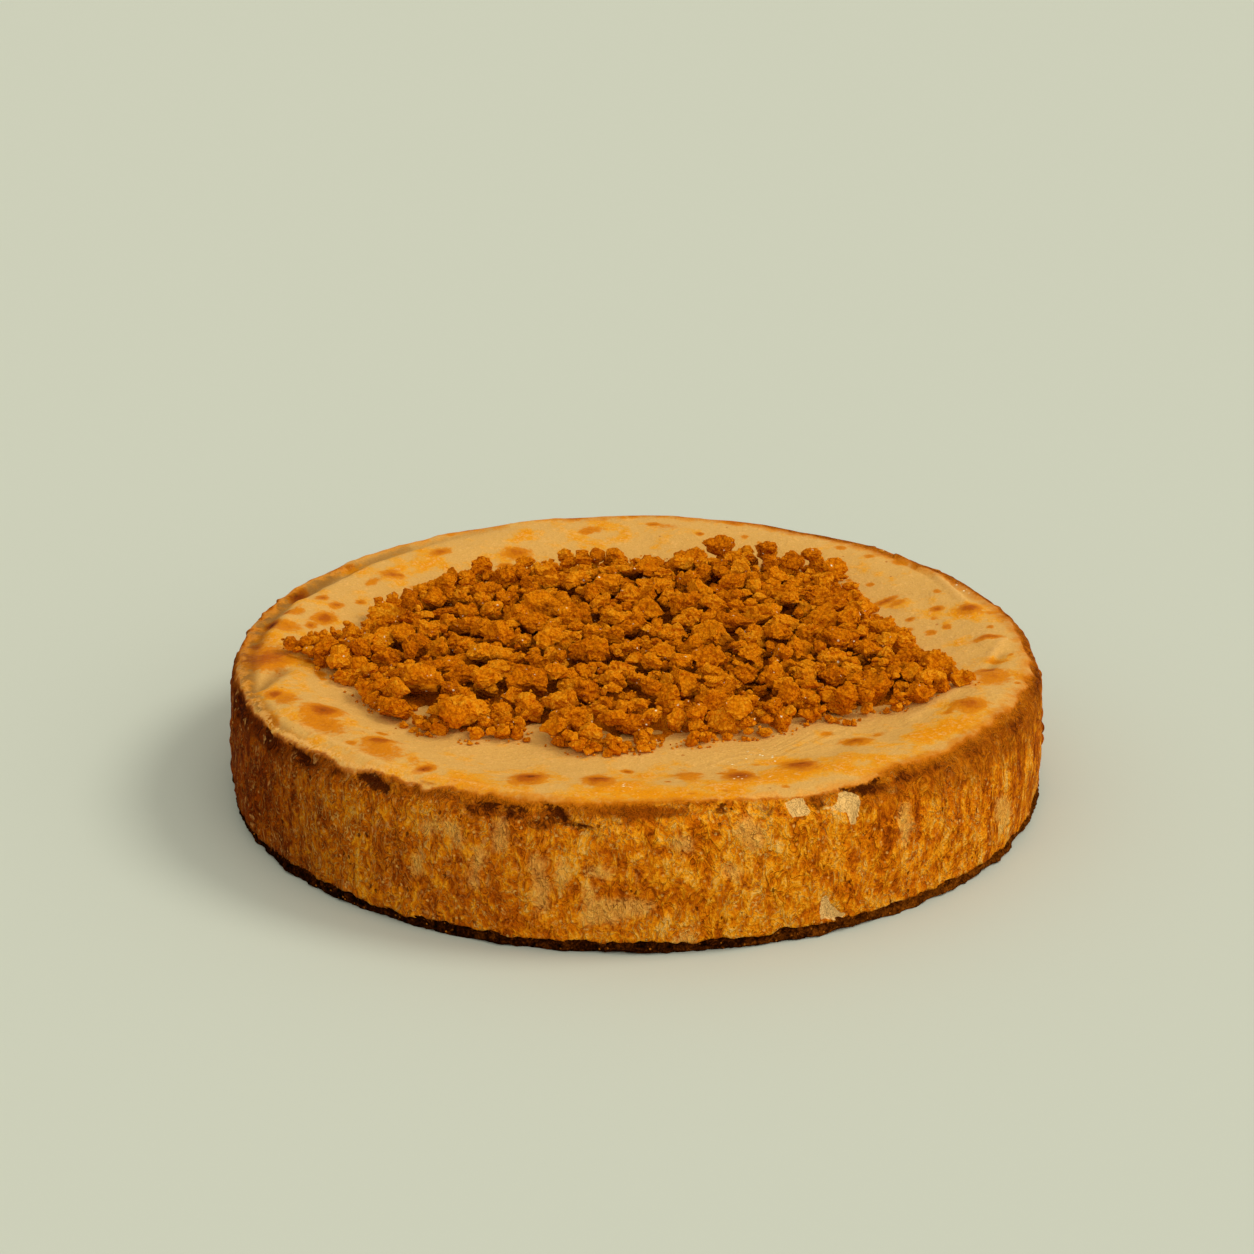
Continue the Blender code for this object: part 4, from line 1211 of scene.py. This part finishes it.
class Ground:
    """The height of what lies on the top so far, on a grid of square cells."""

    def __init__(self):
        size = 2 * GRID_HALF + 1
        self.height = np.zeros((size, size))
        self.floor = np.zeros((size, size))
        for i in range(size):
            for j in range(size):
                x, y = (i - GRID_HALF) * GRID_STEP, (j - GRID_HALF) * GRID_STEP
                distance, angle = from_middle(x, y)
                if distance < GROUND_REACH:
                    bed = max(0.0, bed_depth(x, y)) if distance < heap_reach(angle) else 0.0
                    self.floor[i, j] = top_surface(x, y)
                    self.height[i, j] = self.floor[i, j] + bed
        self.discs = {}

    def under(self, x, y, size):
        """Cells under a crumb of this size, and how high its rounded side stands over each."""
        key = max(1, round(size / GRID_STEP * 2))
        if key not in self.discs:
            radius = key / 4
            reach = int(radius)
            di, dj = np.mgrid[-reach : reach + 1, -reach : reach + 1]
            inside = di**2 + dj**2 <= radius**2
            rise = np.sqrt(np.maximum(0.0, radius**2 - di[inside] ** 2 - dj[inside] ** 2)) * GRID_STEP
            self.discs[key] = (di[inside], dj[inside], rise)
        di, dj, rise = self.discs[key]
        return (round(x / GRID_STEP) + GRID_HALF + di, round(y / GRID_STEP) + GRID_HALF + dj), rise

    def rest(self, x, y, size, sink):
        """Height of the middle of a crumb of this size when it lies at this place."""
        cells, rise = self.under(x, y, size)
        touch = self.height[cells] + SIDE_BELOW * rise
        held = np.sort(touch)[::-1][: max(1, len(touch) // HELD_PART)].mean()
        lowest = self.floor[cells].max() + LEAST_RISE * size
        return max(held - sink * size, lowest)

    def add(self, x, y, z, size):
        cells, rise = self.under(x, y, size)
        self.height[cells] = np.maximum(self.height[cells], z + SIDE_ABOVE * rise)


def resting_place(draw, ground, placed, kind, size):
    """The lowest of the places tried for a crumb of this size, or None if there is no room."""
    best, found = None, 0
    for _ in range(kind.tries * MOST_TRIES):
        angle = draw.uniform(-pi, pi)
        limit = heap_reach(angle) * kind.reach - EDGE_INSET * size
        distance = sqrt(draw.random()) * SPREAD
        x, y = level_place(distance, angle)
        wobble = EDGE_WOBBLE * noise.noise(Vector((x, y, 0.0)) * EDGE_SCALE)
        if distance > limit + wobble:
            continue
        if kind.form == "lump" and x < LUMPS_FROM:
            continue
        bare = max(bareness(x, y + step * size) for step in SHADOW_STEPS)
        if draw.random() < BARE_CHANCE * bare:
            continue
        crowded = (hypot(x - px, y - py) < LUMP_SPACING * (size + ps) for px, py, ps in placed)
        if kind.form == "lump" and any(crowded):
            continue
        z = ground.rest(x, y, size, kind.sink)
        if best is None or z < best[2]:
            best = (x, y, z)
        found += 1
        if found >= kind.tries:
            break
    return best


def crumb_pose(draw, x, y, z, size):
    """A chance turn and stretch for the crumb that lies here."""
    turn = Euler([draw.uniform(0, 2 * pi) for _ in range(3)]).to_matrix().to_4x4()
    sides = (*(draw.uniform(*limits) for limits in SIDES), 1.0)
    return Matrix.Translation((x, y, z)) @ Matrix.Diagonal(sides) @ turn @ Matrix.Scale(size, 4)


def make_kind(kind, ground, draw):
    """All crumbs of one kind as one piece, each laid on what is there."""
    many = GRAIN_FORMS if kind.form == "grain" else FORMS_PER_KIND
    forms = [crumb_form(kind.form, 100 * kind.count + index) for index in range(many)]
    bm = bmesh.new()
    placed = []
    for _ in range(kind.count):
        size = (kind.smallest + (kind.largest - kind.smallest) * draw.random() ** SMALLER_MORE) / 1000
        best = resting_place(draw, ground, placed, kind, size)
        if best is None:
            continue
        x, y, z = best
        z = min(z, HEAP_TOP - CRUMB_HALF * size)
        placed.append((x, y, size))
        ground.add(x, y, z, size)
        pose = crumb_pose(draw, x, y, z, size)
        mesh = draw.choice(forms)
        mesh.transform(pose)
        bm.from_mesh(mesh)
        mesh.transform(pose.inverted())
    for mesh in forms:
        bpy.data.meshes.remove(mesh)
    bmesh.ops.recalc_face_normals(bm, faces=bm.faces)
    finish = crumb_finish(kind.name.replace("_", " "), 1000.0, CRUMB_TINT)
    return made_object(kind.name, bm, finish, "crumb_heap", smooth=False)


def make_crumbs():
    """The heap, from its bed to the finest crumbs, with how far each point of it is sunk in, which sets
    the painted shade in its crevices.
    """
    bed = make_bed()
    ground = Ground()
    draw = random.Random(CRUMB_SEED)
    made = [bed, *(make_kind(kind, ground, draw) for kind in CRUMB_KINDS)]
    level = ground.height.copy()
    for axis in (0, 1):
        level = sum(np.roll(level, step, axis) for step in range(-SMOOTH_CELLS, SMOOTH_CELLS + 1))
        level /= 2 * SMOOTH_CELLS + 1
    for obj in made:
        points, turns = mesh_points(obj)
        cells = np.rint(points[:, :2] / GRID_STEP).astype(int) + GRID_HALF
        sunk = (level[cells[:, 0], cells[:, 1]] - points[:, 2]) * 1000
        reach = np.interp(turns, *np.array(HEAP_REACH).T, period=360)
        share = np.hypot(points[:, 0], points[:, 1]) * 1000 / reach
        inner = 1 - SUNK_OUTER * np.clip((share - SUNK_WITHIN) / SUNK_FADE, 0, 1)
        shown = inner * np.interp(points[:, 1], SUNK_FRONT, SUNK_FRONT_SHARE)
        add_values(obj, "sunk", sunk * shown)


# Floor, light and camera

CAMERA_PLACE = (0.0, -0.95374, 0.42463)
CAMERA_PITCH = radians(21.606)
CAMERA_YAW = radians(0.158)
CAMERA_LENS, CAMERA_SENSOR = 100.0, 36.0
CAMERA_CLIP = (0.05, 50.0)
FLOOR_COLOUR = (0.600, 0.615, 0.480)
FLOOR_HALF, FLOOR_DROP = 6.0, 0.00005
SKY_COLOUR = (1.0, 1.0, 0.99)
SKY_STRENGTH = 0.60
# Each light: name, strength, its height and turn in degrees, and how wide it is
LIGHTS = (
    ("key", 1.12, 48, 6, 22),
    ("fill", 1.35, 18, -64, 90),
)


def make_floor():
    bm = bmesh.new()
    bmesh.ops.create_grid(bm, x_segments=1, y_segments=1, size=FLOOR_HALF)
    bmesh.ops.translate(bm, verts=bm.verts, vec=(0, 0, -FLOOR_DROP))
    f = Finish("plain floor", 0.95, 0.0)
    f.shader.inputs["Base Color"].default_value = (*FLOOR_COLOUR, 1.0)
    linked_object("floor", bm, f.material)


def make_light():
    world = bpy.data.worlds.new("soft room")
    bpy.context.scene.world = world
    world.use_nodes = True
    background = world.node_tree.nodes["Background"]
    background.inputs["Color"].default_value = (*SKY_COLOUR, 1.0)
    background.inputs["Strength"].default_value = SKY_STRENGTH
    for name, strength, height, turn, width in LIGHTS:
        lamp = bpy.data.lights.new(name, "SUN")
        lamp.energy = strength
        lamp.angle = radians(width)
        light = bpy.data.objects.new(name, lamp)
        bpy.context.scene.collection.objects.link(light)
        x, y = level_place(cos(radians(height)), radians(turn))
        towards = Vector((x, y, sin(radians(height))))
        light.rotation_euler = towards.to_track_quat("Z", "Y").to_euler()


def make_camera():
    lens = bpy.data.cameras.new("camera")
    lens.lens = CAMERA_LENS
    lens.sensor_width = CAMERA_SENSOR
    lens.clip_start, lens.clip_end = CAMERA_CLIP
    camera = bpy.data.objects.new("camera", lens)
    camera.location = CAMERA_PLACE
    camera.rotation_euler = (pi / 2 - CAMERA_PITCH, 0.0, CAMERA_YAW)
    bpy.context.scene.collection.objects.link(camera)
    bpy.context.scene.camera = camera


make_skin()
make_biscuit()
make_crumbs()
make_floor()
make_light()
make_camera()
bpy.context.scene.view_settings.view_transform = "Standard"
